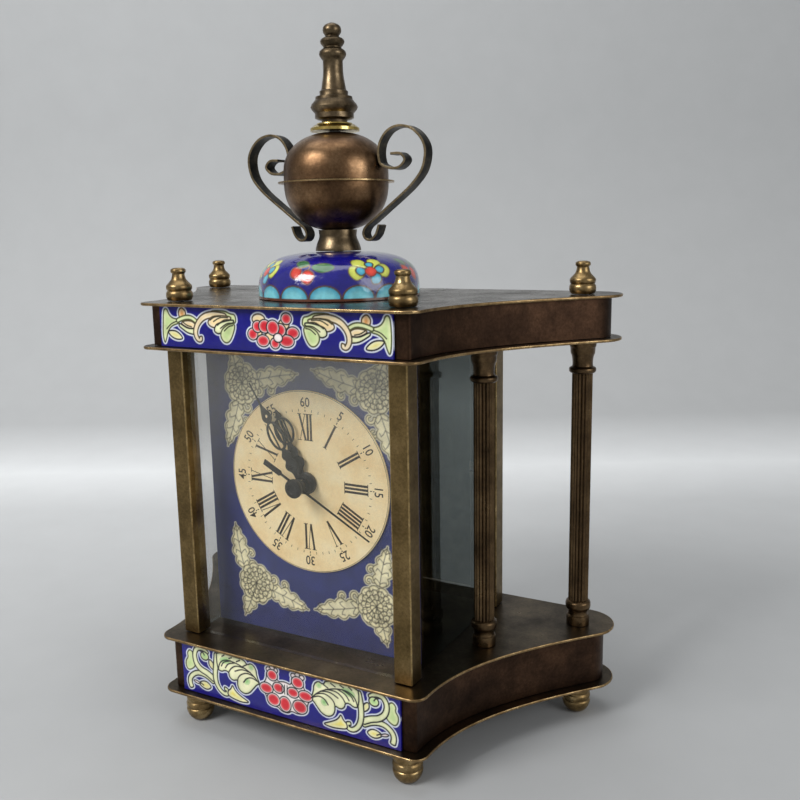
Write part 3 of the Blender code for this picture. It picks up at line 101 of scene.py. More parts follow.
@contextmanager
def editing(shape: Shape, kind: Kind = Kind.FACE, everything: bool = True) -> Iterator[None]:
    """Edit mode on one shape.

    Args:
        shape: The shape to edit.
        kind: What is selected.
        everything: Whether all of it is selected, or only what was marked.
    """
    activate(shape)
    bpy.context.tool_settings.mesh_select_mode = kind.value
    bpy.ops.object.mode_set(mode="EDIT")
    if everything:
        bpy.ops.mesh.select_all(action="SELECT")
    yield
    bpy.ops.object.mode_set(mode="OBJECT")


def mark(shape: Shape, kind: Kind, test: Callable[[Vector], bool]) -> None:
    """Select the edges or faces whose middle passes a test.

    Args:
        shape: The shape, in object mode.
        kind: Whether edges or faces are tested.
        test: Tells from the middle whether to select.
    """
    mesh = shape.data
    for group in (mesh.vertices, mesh.edges, mesh.polygons):
        group.foreach_set("select", [False] * len(group))
    if kind is Kind.FACE:
        for face in mesh.polygons:
            face.select = test(face.center)
        return
    for edge in mesh.edges:
        start, end = (mesh.vertices[index].co for index in edge.vertices)
        edge.select = test((start + end) / 2)


def outline(name: str, points: Sequence[Triple], filled: bool = True) -> Shape:
    """A flat loop with a corner at each point.

    Args:
        name: Name of the shape and its mesh.
        points: Its corners in order.
        filled: Whether a face fills the loop.

    Returns:
        The new shape.
    """
    deselect_all()
    fill = "NGON" if filled else "NOTHING"
    bpy.ops.mesh.primitive_circle_add(vertices=len(points), radius=1.0, fill_type=fill)
    shape = bpy.context.object
    shape.name = name
    shape.data.name = name
    shape.data.vertices.foreach_set("co", [value for point in points for value in point])
    shape.data.update()
    return shape


def cut_open(loop: Shape) -> None:
    """Take away the edge between a loop's last and first corner."""
    corners = loop.data.vertices
    ends = {0, len(corners) - 1}
    for edge in loop.data.edges:
        edge.select = set(edge.vertices) == ends
    corners.foreach_set("select", [index in ends for index in range(len(corners))])
    with editing(loop, Kind.EDGE, everything=False):
        bpy.ops.mesh.delete(type="EDGE")


def raised(shape: Shape, move: Triple) -> Shape:
    """Extrude a filled outline into a closed solid.

    Args:
        shape: The filled outline.
        move: How far and which way it is extruded.

    Returns:
        The same shape.
    """
    with editing(shape):
        bpy.ops.mesh.extrude_region_move(TRANSFORM_OT_translate={"value": move})
        bpy.ops.mesh.select_all(action="SELECT")
        bpy.ops.mesh.normals_make_consistent(inside=False)
    return shape


def turned(name: str, profile: Sequence[Pair], steps: int, closed: bool = False) -> Shape:
    """Turn a profile about Z, as on a lathe.

    Args:
        name: Name of the shape.
        profile: Points of radius and height.
        steps: How many steps go round.
        closed: Whether the profile is a loop that doesn't touch the axis.

    Returns:
        The turned shape.
    """
    shape = outline(name, [(across, 0, up) for across, up in profile], filled=False)
    if not closed:
        cut_open(shape)
    with editing(shape, Kind.CORNER):
        bpy.ops.mesh.spin(
            steps=steps, angle=math.tau, center=(0, 0, 0), axis=(0, 0, 1), use_auto_merge=True,
        )
        bpy.ops.mesh.select_all(action="SELECT")
        bpy.ops.mesh.remove_doubles(threshold=MERGE_DISTANCE)
        bpy.ops.mesh.normals_make_consistent(inside=False)
    return shape


def put_in_mesh(shapes: Iterable[Shape]) -> None:
    """Apply the place and turn that each shape already has."""
    deselect_all()
    for shape in shapes:
        shape.select_set(True)
        bpy.context.view_layer.objects.active = shape
    bpy.ops.object.transform_apply(location=True, rotation=True, scale=True)


def settle(shape: Shape, place: Triple = (0, 0, 0), turn: Triple = (0, 0, 0)) -> None:
    """Move and turn a shape, and put that into its mesh.

    Args:
        shape: The shape.
        place: Where it goes.
        turn: Euler angles that it is turned by first.
    """
    shape.location = place
    shape.rotation_euler = turn
    put_in_mesh([shape])


def twin(shape: Shape, name: str, place: Triple = (0, 0, 0), turn: Triple = (0, 0, 0)) -> Shape:
    """A copy of a shape with its own mesh, at a place of its own.

    Args:
        shape: What is copied.
        name: Name of the copy.
        place: Where the copy goes.
        turn: How the copy is turned.

    Returns:
        The copy, with its place not yet in its mesh.
    """
    activate(shape)
    bpy.ops.object.duplicate(linked=False)
    copy = bpy.context.object
    copy.name = name
    copy.data.name = name
    copy.location = place
    copy.rotation_euler = turn
    return copy


def joined(name: str, shapes: Sequence[Shape]) -> Shape:
    """Join shapes into one.

    Args:
        name: Name of the result.
        shapes: What is joined.

    Returns:
        The joined shape.
    """
    put_in_mesh(shapes)
    bpy.context.view_layer.objects.active = shapes[0]
    if len(shapes) > 1:
        bpy.ops.object.join()
    shapes[0].name = name
    shapes[0].data.name = name
    return shapes[0]


def apply_modifier(shape: Shape, modifier: bpy.types.Modifier) -> None:
    """Apply one modifier for good."""
    activate(shape)
    bpy.ops.object.modifier_apply(modifier=modifier.name)


def bevelled(shape: Shape, width: float, steps: int = 2, edge_slot: int = -1) -> Shape:
    """Round the sharp edges of a shape.

    Args:
        shape: The shape.
        width: Width of the bevel.
        steps: Its segments.
        edge_slot: Material slot that the new faces take, or -1 to keep theirs.

    Returns:
        The same shape.
    """
    modifier = shape.modifiers.new("edges", "BEVEL")
    modifier.width = width
    modifier.segments = steps
    modifier.limit_method = "ANGLE"
    modifier.angle_limit = BEVEL_ANGLE
    modifier.material = edge_slot
    apply_modifier(shape, modifier)
    return shape


def walled(shape: Shape, thickness: float) -> Shape:
    """Give an open sheet its thickness, inwards."""
    modifier = shape.modifiers.new("wall", "SOLIDIFY")
    modifier.thickness = thickness
    modifier.offset = -1
    modifier.use_even_offset = True
    apply_modifier(shape, modifier)
    return shape


def drilled(shape: Shape, radius: float, place: Triple, turn: Triple = (0, 0, 0)) -> Shape:
    """Drill one round hole right through a shape.

    Args:
        shape: The shape.
        radius: Radius of the hole.
        place: A point in the middle of the hole.
        turn: How the drill is turned from upright.

    Returns:
        The same shape.
    """
    deselect_all()
    bpy.ops.mesh.primitive_cylinder_add(
        vertices=DRILL_SIDES, radius=radius, depth=DRILL_LENGTH, location=place, rotation=turn,
    )
    drill = bpy.context.object
    modifier = shape.modifiers.new("hole", "BOOLEAN")
    modifier.operation = "DIFFERENCE"
    modifier.solver = "EXACT"
    modifier.object = drill
    apply_modifier(shape, modifier)
    bpy.data.objects.remove(drill, do_unlink=True)
    return shape


def smoothed(shape: Shape, weighted: bool = False) -> Shape:
    """Shade a shape smooth except over its sharp edges.

    Args:
        shape: The shape.
        weighted: Whether large flat faces keep their own normals.

    Returns:
        The same shape.
    """
    activate(shape)
    bpy.ops.object.shade_smooth_by_angle(angle=FLAT_ANGLE if weighted else SMOOTH_ANGLE)
    if weighted:
        modifier = shape.modifiers.new("flats", "WEIGHTED_NORMAL")
        modifier.keep_sharp = True
        apply_modifier(shape, modifier)
    return shape


def rounded(points: Sequence[Pair], passes: int = 2, closed: bool = True) -> list[Pair]:
    """Cut the corners of a path until it is smooth.

    Args:
        points: Its corners.
        passes: How often each corner is cut.
        closed: Whether the path is a loop.

    Returns:
        The smoother path.
    """
    path = np.asarray(points, dtype=float)
    for _ in range(passes):
        after = np.roll(path, -1, axis=0) if closed else path[1:]
        before = path if closed else path[:-1]
        cut = np.empty((2 * len(before), 2))
        cut[0::2] = before * 0.75 + after * 0.25
        cut[1::2] = before * 0.25 + after * 0.75
        path = cut if closed else np.vstack((path[:1], cut[1:-1], path[-1:]))
    return [tuple(point) for point in path]


def rectangle(left: float, right: float, low: float, high: float) -> list[Pair]:
    """The corners of an upright rectangle."""
    return [(left, low), (right, low), (right, high), (left, high)]


def superellipse(radius: float, height: float, fullness: float, steps: int,
                 hole: float) -> list[Pair]:
    """Quarter outline of a dome.

    Args:
        radius: Radius at the rim.
        height: Height at the pole.
        fullness: 2 is an ellipse, and more is fuller.
        steps: Segments of the outline.
        hole: Radius of the hole at the pole.

    Returns:
        Points of radius and height from the rim up.
    """
    points = []
    for step in range(steps + 1):
        angle = math.pi / 2 * step / steps
        across = radius * max(math.cos(angle), 0) ** (2 / fullness)
        points.append((max(across, hole), height * math.sin(angle) ** (2 / fullness)))
    return points


def run_along(path: np.ndarray) -> np.ndarray:
    """How far along a path each of its points lies."""
    return np.concatenate(([0], np.cumsum(np.linalg.norm(np.diff(path, axis=0), axis=1))))


def curve_point(start: Vector, out: Vector, into: Vector, end: Vector, share: float) -> Vector:
    """A point of a cubic curve.

    Args:
        start: Its start.
        out: Where it is pulled as it leaves the start.
        into: Where it is pulled as it nears the end.
        end: Its end.
        share: How far along it the point is, from 0 to 1.

    Returns:
        The point.
    """
    rest = 1 - share
    return (
        start * rest ** 3 + out * 3 * rest ** 2 * share
        + into * 3 * rest * share ** 2 + end * share ** 3
    )


def ribbon(path: Sequence[Pair], start_width: float, end_width: float) -> list[Pair]:
    """Outline of a ribbon laid along the middle of a path.

    Args:
        path: The middle of the ribbon.
        start_width: Width at its start.
        end_width: Width at its end.

    Returns:
        The closed outline.
    """
    middle = [Vector(point) for point in path]
    left, right = [], []
    for index, point in enumerate(middle):
        before = middle[max(index - 1, 0)]
        after = middle[min(index + 1, len(middle) - 1)]
        along = (after - before).normalized()
        share = index / (len(middle) - 1)
        side = Vector((-along.y, along.x)) * (start_width * (1 - share) + end_width * share) / 2
        left.append(tuple(point + side))
        right.append(tuple(point - side))
    return left + right[::-1]


def evenly(points: Sequence[Pair], count: int) -> list[Pair]:
    """A path with its points moved to even distances.

    Args:
        points: The path.
        count: How many points it gets.

    Returns:
        The same path with even points.
    """
    path = np.asarray(points, dtype=float)
    lengths = run_along(path)
    marks = np.linspace(0, lengths[-1], count)
    columns = [np.interp(marks, lengths, path[:, axis]) for axis in (0, 1)]
    return list(zip(*(column.tolist() for column in columns)))


def points_of(shape: Shape) -> np.ndarray:
    """The points of a shape's mesh, one row each."""
    points = np.empty(3 * len(shape.data.vertices))
    shape.data.vertices.foreach_get("co", points)
    return points.reshape(-1, 3)


def middle_foot(node: str) -> Triple:
    """The middle of a CAD node seen from above, at the node's lowest level."""
    low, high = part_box(node)
    return (low[0] + high[0]) / 2, (low[1] + high[1]) / 2, low[2]


def dress(shape: Shape, *finishes: "Finish") -> None:
    """Put finishes into a shape's material slots, in order."""
    slots = shape.data.materials
    while len(slots) < len(finishes):
        slots.append(None)
    for index, finish in enumerate(finishes):
        slots[index] = finish.material()


def hand_over(
    piece: Shape, body: str, slot: str, finishes: Sequence["Finish"], *replaced: str,
) -> None:
    """Dress a finished piece, hide the CAD nodes that it stands for, and hang it on its body.

    Args:
        piece: The finished piece.
        body: The CAD body that it rides on.
        slot: Not used.
        finishes: Its finishes, in the order of its material slots.
        replaced: The CAD nodes that it stands for.
    """
    dress(piece, *finishes)
    if replaced:
        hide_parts(*replaced)
    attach(piece, body)
    LOG.info("%s: %d faces, on %s", piece.name, len(piece.data.polygons), body)


def clothe(node: str, finish: "Finish") -> None:
    """Give a CAD node that stays in view its finish."""
    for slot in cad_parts[node].material_slots:
        slot.material = finish.material()
    LOG.info("%s: dressed in %s", node, finish.name)


def set_out(
    pattern: Shape, rows: Sequence[str], kind: str, made: str, slot: str, finish: "Finish",
) -> None:
    """Put a copy of a pattern in the place of each node of its kind, and remove the pattern.

    Args:
        pattern: What is copied.
        rows: Rows of the nodes; each row has a left and a right one.
        kind: What the nodes are called.
        made: How the copies are made, for their names.
        slot: The record's slot that they take their finish from.
        finish: Their finish.
    """
    for row in rows:
        for side in SIDES:
            node = f"{row}_{side}_{kind}"
            shape = twin(pattern, f"{row}_{side}_{made}_{kind}", middle_foot(node))
            put_in_mesh([shape])
            hand_over(shape, "case", slot, (finish,), node)
    bpy.data.objects.remove(pattern, do_unlink=True)


# ------------------------------------------------------------------- finishes


class Graph:
    """The nodes of one material, with short calls to add and join them."""

    def __init__(self, name: str) -> None:
        """Start from a plain shader.

        Args:
            name: Name of the material.
        """
        self.material = bpy.data.materials.new(name)
        self.material.use_nodes = True
        self.tree = self.material.node_tree
        self.shader = self.tree.nodes["Principled BSDF"]
        self.place = self.node("ShaderNodeTexCoord").outputs["Object"]

    def node(self, kind: str, **settings: object) -> bpy.types.Node:
        """Add a node.

        Args:
            kind: Its type.
            settings: Properties to set on it.

        Returns:
            The node.
        """
        added = self.tree.nodes.new(kind)
        for key, value in settings.items():
            setattr(added, key, value)
        return added

    def join(self, value: object, socket: bpy.types.NodeSocket) -> None:
        """Feed a socket from another socket, or set it to a constant."""
        if isinstance(value, bpy.types.NodeSocket):
            self.tree.links.new(value, socket)
        else:
            socket.default_value = value

    def stretched(self, stretch: Triple) -> bpy.types.NodeSocket:
        """Object coordinates, stretched along the axes."""
        mapping = self.node("ShaderNodeMapping")
        self.join(self.place, mapping.inputs["Vector"])
        mapping.inputs["Scale"].default_value = stretch
        return mapping.outputs["Vector"]

    def along(self, way: Triple) -> bpy.types.NodeSocket:
        """How far each point lies along a direction, in metres times its length."""
        product = self.node("ShaderNodeVectorMath", operation="DOT_PRODUCT")
        self.join(self.place, product.inputs[0])
        product.inputs[1].default_value = way
        return product.outputs["Value"]

    def noise(
        self, size: float, detail: float = 4.0, harshness: float = 0.55,
        stretch: Triple = (1, 1, 1),
    ) -> bpy.types.NodeSocket:
        """Cloudy noise.

        Args:
            size: Size of its blotches in metres.
            detail: Octaves.
            harshness: How strong the small octaves are.
            stretch: Scale along each axis.

        Returns:
            A value from 0 to 1.
        """
        noise = self.node("ShaderNodeTexNoise")
        self.join(self.stretched(stretch), noise.inputs["Vector"])
        noise.inputs["Scale"].default_value = 1 / size
        noise.inputs["Detail"].default_value = detail
        noise.inputs["Roughness"].default_value = harshness
        return noise.outputs["Fac"]

    def ramp(self, value: bpy.types.NodeSocket, *stops: tuple[float,
                                                              Colour]) -> bpy.types.NodeSocket:
        """Colours along a value.

        Args:
            value: The value from 0 to 1.
            stops: Place and colour of each stop.

        Returns:
            The colour.
        """
        ramp = self.node("ShaderNodeValToRGB")
        elements = ramp.color_ramp.elements
        while len(elements) < len(stops):
            elements.new(0.5)
        for element, (place, colour) in zip(elements, stops):
            element.position = place
            element.color = colour
        self.join(value, ramp.inputs["Fac"])
        return ramp.outputs["Color"]

    def mix(self, share: object, first: object, second: object,
            blend: str = "MIX") -> bpy.types.NodeSocket:
        """Blend two colours.

        Args:
            share: How much of the second is used.
            first: The first colour.
            second: The second colour.
            blend: Blend type.

        Returns:
            The blended colour.
        """
        mix = self.node("ShaderNodeMix", data_type="RGBA", blend_type=blend)
        self.join(share, mix.inputs[0])
        self.join(first, mix.inputs[6])
        self.join(second, mix.inputs[7])
        return mix.outputs[2]

    def scaled(self, value: bpy.types.NodeSocket, low: float, high: float,
               start: float = 0.0, end: float = 1.0) -> bpy.types.NodeSocket:
        """Map a value from one range to another.

        Args:
            value: The value.
            low: Result at the start.
            high: Result at the end.
            start: Value that gives the low result.
            end: Value that gives the high result.

        Returns:
            The mapped value.
        """
        mapped = self.node("ShaderNodeMapRange")
        self.join(value, mapped.inputs["Value"])
        for key, number in (("From Min", start), ("From Max", end), ("To Min", low),
                            ("To Max", high)):
            mapped.inputs[key].default_value = number
        return mapped.outputs["Result"]

    def bump(self, height: bpy.types.NodeSocket, strength: float, distance: float) -> None:
        """Dent the surface, on top of any bump that it has.

        Args:
            height: The height pattern.
            strength: How strong it shows.
            distance: Height of the pattern in metres.
        """
        bump = self.node("ShaderNodeBump")
        bump.inputs["Strength"].default_value = strength
        bump.inputs["Distance"].default_value = distance
        self.join(height, bump.inputs["Height"])
        normal = self.shader.inputs["Normal"]
        if normal.is_linked:
            self.join(normal.links[0].from_socket, bump.inputs["Normal"])
        self.join(bump.outputs["Normal"], normal)

    def surface(self, colour: object, roughness: object, metallic: float = 0.0) -> None:
        """Set the shader's colour, roughness and metallic value."""
        self.join(colour, self.shader.inputs["Base Color"])
        self.join(roughness, self.shader.inputs["Roughness"])
        self.shader.inputs["Metallic"].default_value = metallic


@dataclass(frozen=True)
class Finish:
    """A finish, whose material is made on its first use."""

    name: str

    def material(self) -> bpy.types.Material:
        """The finish as a material."""
        if self.name not in bpy.data.materials:
            self.lay_out(Graph(self.name))
        return bpy.data.materials[self.name]

    def lay_out(self, graph: Graph) -> None:
        """Add and join the nodes of the finish."""
        raise NotImplementedError


@dataclass(frozen=True)
class AgedMetal(Finish):
    """Brass, bronze or steel that has darkened unevenly."""

    dark: Colour
    mid: Colour
    bright: Colour
    roughness: float = 0.38
    blotch: float = 0.011
    grain: Triple = (1, 1, 1)
    grain_depth: float = 0.25
    specks: float = 0.0
    metallic: float = 1.0

    def lay_out(self, graph: Graph) -> None:
        """Clouded colour with dust, specks and brushing."""
        clouds = graph.noise(self.blotch, 6, 0.62)
        colour = graph.ramp(clouds, (0.32, self.dark), (0.50, self.mid), (0.70, self.bright))
        dust = graph.noise(0.0012, 3, 0.7)
        shade = graph.scaled(dust, 0.72, 1.18, 0.3, 0.7)
        colour = graph.mix(1.0, colour, shade, "MULTIPLY")
        if self.specks:
            spots = graph.noise(0.0016, 1, 0.4)
            covered = graph.scaled(spots, 0.0, 1.0, 1 - self.specks, 1 - self.specks + 0.05)
            colour = graph.mix(covered, colour, self.bright)
        brushing = graph.noise(0.0006, 3, 0.6, self.grain)
        rough = graph.scaled(clouds, self.roughness + 0.12, self.roughness - 0.08, 0.3, 0.7)
        graph.surface(colour, rough, self.metallic)
        graph.bump(brushing, self.grain_depth, 0.00012)
        graph.bump(dust, self.grain_depth * 0.6, 0.0001)


@dataclass(frozen=True)
class FiredEnamel(Finish):
    """Glossy enamel whose cells are painted point by point."""

    roughness: float = 0.14
    coat: float = 0.6
    ripple: float = 0.10
    grime: float = 0.10

    def lay_out(self, graph: Graph) -> None:
        """Painted cells under a clear coat, a little grimy."""
        cells = graph.node("ShaderNodeAttribute", attribute_name="enamel").outputs["Color"]
        clouds = graph.noise(0.006, 5, 0.6)
        shade = graph.scaled(clouds, 1 - self.grime * 2, 1 + self.grime, 0.3, 0.7)
        colour = graph.mix(1.0, cells, shade, "MULTIPLY")
        rough = graph.scaled(graph.noise(0.003, 3), self.roughness, self.roughness + 0.14, 0.45,
                             0.75)
        graph.surface(colour, rough)
        graph.shader.inputs["Coat Weight"].default_value = self.coat
        graph.shader.inputs["Coat Roughness"].default_value = 0.06
        graph.bump(graph.noise(0.0035, 3, 0.5), self.ripple, 0.0006)


@dataclass(frozen=True)
class PrintedCream(Finish):
    """The matt cream dial, a little stained."""

    name: str = "dial_cream"

    def lay_out(self, graph: Graph) -> None:
        """Stained cream on fibrous board."""
        clouds = graph.noise(0.013, 5, 0.6)
        colour = graph.ramp(
            clouds, (0.30, linear(242, 210, 152)), (0.50, linear(250, 226, 174)),
            (0.72, linear(254, 238, 196)),
        )
        fibre = graph.noise(0.0008, 4, 0.7)
        colour = graph.mix(1.0, colour, graph.scaled(fibre, 0.93, 1.05, 0.3, 0.7), "MULTIPLY")
        graph.surface(colour, graph.scaled(fibre, 0.38, 0.55, 0.3, 0.7))
        graph.bump(fibre, 0.2, 0.00008)


@dataclass(frozen=True)
class Ink(Finish):
    """Dark print, thin in places."""

    name: str = "dial_ink"

    def lay_out(self, graph: Graph) -> None:
        """Dark brown where it is thick, paler where it is worn."""
        worn = graph.noise(0.0009, 4, 0.7)
        colour = graph.ramp(worn, (0.45, linear(34, 28, 22)), (0.75, linear(92, 76, 56)))
        graph.surface(colour, graph.scaled(worn, 0.4, 0.6))
        graph.bump(worn, 0.1, 0.00004)


@dataclass(frozen=True)
class Pane(Finish):
    """Thin clear glass that mirrors more at a glancing angle, and towards its top as a painted
    reflection.
    """

    tint: Colour
    least: float
    most: float
    painted_top_reflection: float = 0.0
    steepness: float = 2.5
    painted_top_reflection_levels: Pair = (0.10, 0.165)

    def lay_out(self, graph: Graph) -> None:
        """A smeared mirror, mixed with clear by angle, and more mirror-like towards the top as a
        painted reflection.
        """
        facing = graph.node("ShaderNodeLayerWeight")
        facing.inputs["Blend"].default_value = 0.5
        steep = graph.node("ShaderNodeMath", operation="POWER")
        graph.join(facing.outputs["Facing"], steep.inputs[0])
        steep.inputs[1].default_value = self.steepness
        smears = graph.noise(0.02, 4, 0.6)
        graph.surface(self.tint, graph.scaled(smears, 0.02, 0.10, 0.4, 0.8), 1.0)
        mirror = graph.scaled(steep.outputs[0], self.least, self.most)
        # Painted reflection: the pane grows more mirror-like with height.
        painted_top_reflection = graph.scaled(graph.along((0, 0, 1)), 0, self.painted_top_reflection, *self.painted_top_reflection_levels)
        both = graph.node("ShaderNodeMath", operation="ADD")
        graph.join(mirror, both.inputs[0])
        graph.join(painted_top_reflection, both.inputs[1])
        graph.join(both.outputs[0], graph.shader.inputs["Alpha"])
        graph.bump(graph.noise(0.03, 2), 0.05, 0.0004)


PLATE = AgedMetal(
    "plate_metal", linear(56, 48, 38), linear(80, 69, 53), linear(106, 92, 70),
    roughness=0.34, blotch=0.020, grain=(0.05, 1, 1), specks=0.22,
)
ROOF = replace(PLATE, name="roof_metal", roughness=0.24)
# Edge metal of the plates: partly real wear, partly a painted highlight where light catches the
# edges.
PLATE_EDGE = AgedMetal(
    "plate_edge_wear_and_highlight", linear(116, 94, 64), linear(152, 126, 88), linear(196, 168, 122),
    roughness=0.30, blotch=0.006,
)
WALL = AgedMetal(
    "wall_metal", linear(42, 31, 25), linear(64, 47, 36), linear(90, 66, 50),
    roughness=0.42, blotch=0.020, grain=(1, 1, 0.06),
)
PILLAR = AgedMetal(
    "pillar_metal", linear(92, 76, 48), linear(114, 95, 61), linear(136, 114, 77),
    roughness=0.36, blotch=0.016, grain=(1, 1, 0.04), grain_depth=0.35,
)
PILLAR_EDGE = AgedMetal(
    "pillar_worn_edge", linear(130, 108, 70), linear(160, 136, 92), linear(194, 168, 120),
    roughness=0.3, blotch=0.006,
)
COLUMN = AgedMetal(
    "column_metal", linear(70, 56, 40), linear(92, 74, 53), linear(116, 95, 68),
    roughness=0.34, blotch=0.012,
)
TURNED = AgedMetal(
    "turned_metal", linear(112, 92, 60), linear(150, 126, 86), linear(194, 170, 124),
    roughness=0.30, blotch=0.006, grain=(0.3, 0.3, 1),
)
SPIRE = AgedMetal(
    "spire_metal", linear(70, 60, 46), linear(98, 84, 64), linear(132, 115, 90),
    roughness=0.34, blotch=0.007, grain=(0.3, 0.3, 1),
)
BRIGHT_BRASS = AgedMetal(
    "bright_brass", linear(172, 146, 76), linear(208, 182, 106), linear(236, 216, 148),
    roughness=0.20, blotch=0.006, grain_depth=0.12,
)
URN = AgedMetal(
    "urn_metal", linear(76, 56, 40), linear(110, 84, 60), linear(146, 116, 86),
    roughness=0.33, blotch=0.013, grain=(0.2, 0.2, 1), specks=0.2,
)
URN_EDGE = AgedMetal(
    "urn_worn_edge", linear(132, 108, 74), linear(168, 142, 102), linear(200, 174, 132),
    roughness=0.28, blotch=0.005,
)
STRAP = AgedMetal(
    "strap_metal", linear(26, 25, 23), linear(46, 43, 38), linear(84, 76, 62),
    roughness=0.42, blotch=0.007,
)
STRAP_EDGE = AgedMetal(
    "strap_worn_edge", linear(84, 74, 56), linear(120, 106, 82), linear(156, 140, 112),
    roughness=0.32, blotch=0.005,
)
BLACK = AgedMetal(
    "hand_black", linear(6, 6, 7), linear(10, 10, 11), linear(26, 28, 27),
    roughness=0.32, blotch=0.004, metallic=0.1,
)
STEEL = AgedMetal(
    "bright_steel", linear(120, 120, 122), linear(160, 160, 162), linear(196, 196, 196),
    roughness=0.24, blotch=0.006,
)
MOVEMENT_BRASS = AgedMetal(
    "movement_brass", linear(112, 90, 44), linear(150, 124, 66), linear(186, 158, 92),
    roughness=0.30, blotch=0.009, grain=(0.2, 1, 1),
)
DOOR_BRASS = AgedMetal(
    "door_metal", linear(74, 66, 44), linear(100, 90, 60), linear(128, 116, 80),
    roughness=0.38, blotch=0.018, grain=(0.05, 1, 1),
)
ENAMEL = FiredEnamel("fired_enamel", coat=0.25)
DOME_ENAMEL = FiredEnamel("dome_enamel", roughness=0.12, coat=0.8, ripple=0.55, grime=0.16)
PANEL_ENAMEL = FiredEnamel("panel_enamel", roughness=0.3, coat=0.15, ripple=0.05, grime=0.14)
CREAM = PrintedCream()
INK = Ink()
# The front pane's last number is a painted reflection towards its top.
FRONT_PANE = Pane("front_pane", linear(222, 220, 208), 0.02, 0.5, 0.11)
SIDE_PANE = Pane("side_pane", linear(132, 142, 140), 0.14, 1.0)


# -------------------------------------------------------------------- painter


OVAL_CORNERS = 10
OVAL_SWELL = 1.06
EDGE_BLUR = 1.3


@dataclass(frozen=True)
class CellStyle:
    """Colours of one enamel cell. Widths are in millimetres."""

    rim: Colour
    heart: Colour
    line: Colour = linear(28, 26, 34)
    halo: Colour = linear(226, 232, 246)
    line_width: float = 0.66
    halo_width: float = 0.52
    depth: float = 1.0


YELLOW_CELL = CellStyle(linear(226, 234, 184), linear(250, 250, 206))
GREEN_CELL = CellStyle(linear(220, 238, 176), linear(150, 206, 128), depth=2.2)
GOLD_CELL = CellStyle(linear(246, 244, 200), linear(246, 232, 120), depth=1.6)
PEACH_CELL = CellStyle(linear(250, 236, 206), linear(252, 226, 172), line=linear(84, 72, 46))
OLIVE_CELL = CellStyle(linear(232, 240, 186), linear(206, 228, 160), line=linear(84, 92, 56),
                       depth=1.6)
ORANGE_CELL = CellStyle(linear(248, 224, 176), linear(232, 150, 70), line=linear(96, 70, 44),
                        depth=1.6)
WHITE_CELL = CellStyle(linear(244, 228, 226), linear(254, 248, 244), line_width=0.56)
GREEN_GLAZE = CellStyle(
    linear(216, 236, 178), linear(150, 206, 132), line_width=0.0, halo_width=0, depth=1.4,
)
RED_GLAZE = CellStyle(linear(236, 120, 124), linear(222, 44, 58), line_width=0.0, halo_width=0,
                      depth=0.9)
LIME_DOME = CellStyle(
    linear(196, 206, 90), linear(220, 228, 104), line=linear(96, 74, 40), line_width=0.34,
    halo_width=0,
)
CYAN_DOME = CellStyle(
    linear(62, 164, 196), linear(132, 216, 230), line=linear(84, 56, 42), line_width=0.5,
    halo_width=0,
    depth=2.6,
)
GREEN_DOME = CellStyle(
    linear(70, 128, 84), linear(58, 116, 70), line=linear(84, 92, 60), line_width=0.34,
    halo_width=0,
)
RED_DOME = CellStyle(
    linear(206, 58, 48), linear(226, 76, 60), line=linear(110, 60, 44), line_width=0.34,
    halo_width=0.2, halo=linear(150, 120, 130),
)
# The pale halo round each cream cell is a painted highlight along the raised edge of the corner
# sprays.
CREAM_CELL = CellStyle(
    linear(236, 226, 180), linear(250, 242, 202), line=linear(44, 38, 24),
    halo=linear(240, 234, 200), line_width=0.42, halo_width=0.42,
)


@dataclass(frozen=True)
class Cell:
    """A closed enamel cell."""

    loop: Sequence[Pair]
    style: CellStyle
    passes: int = 2


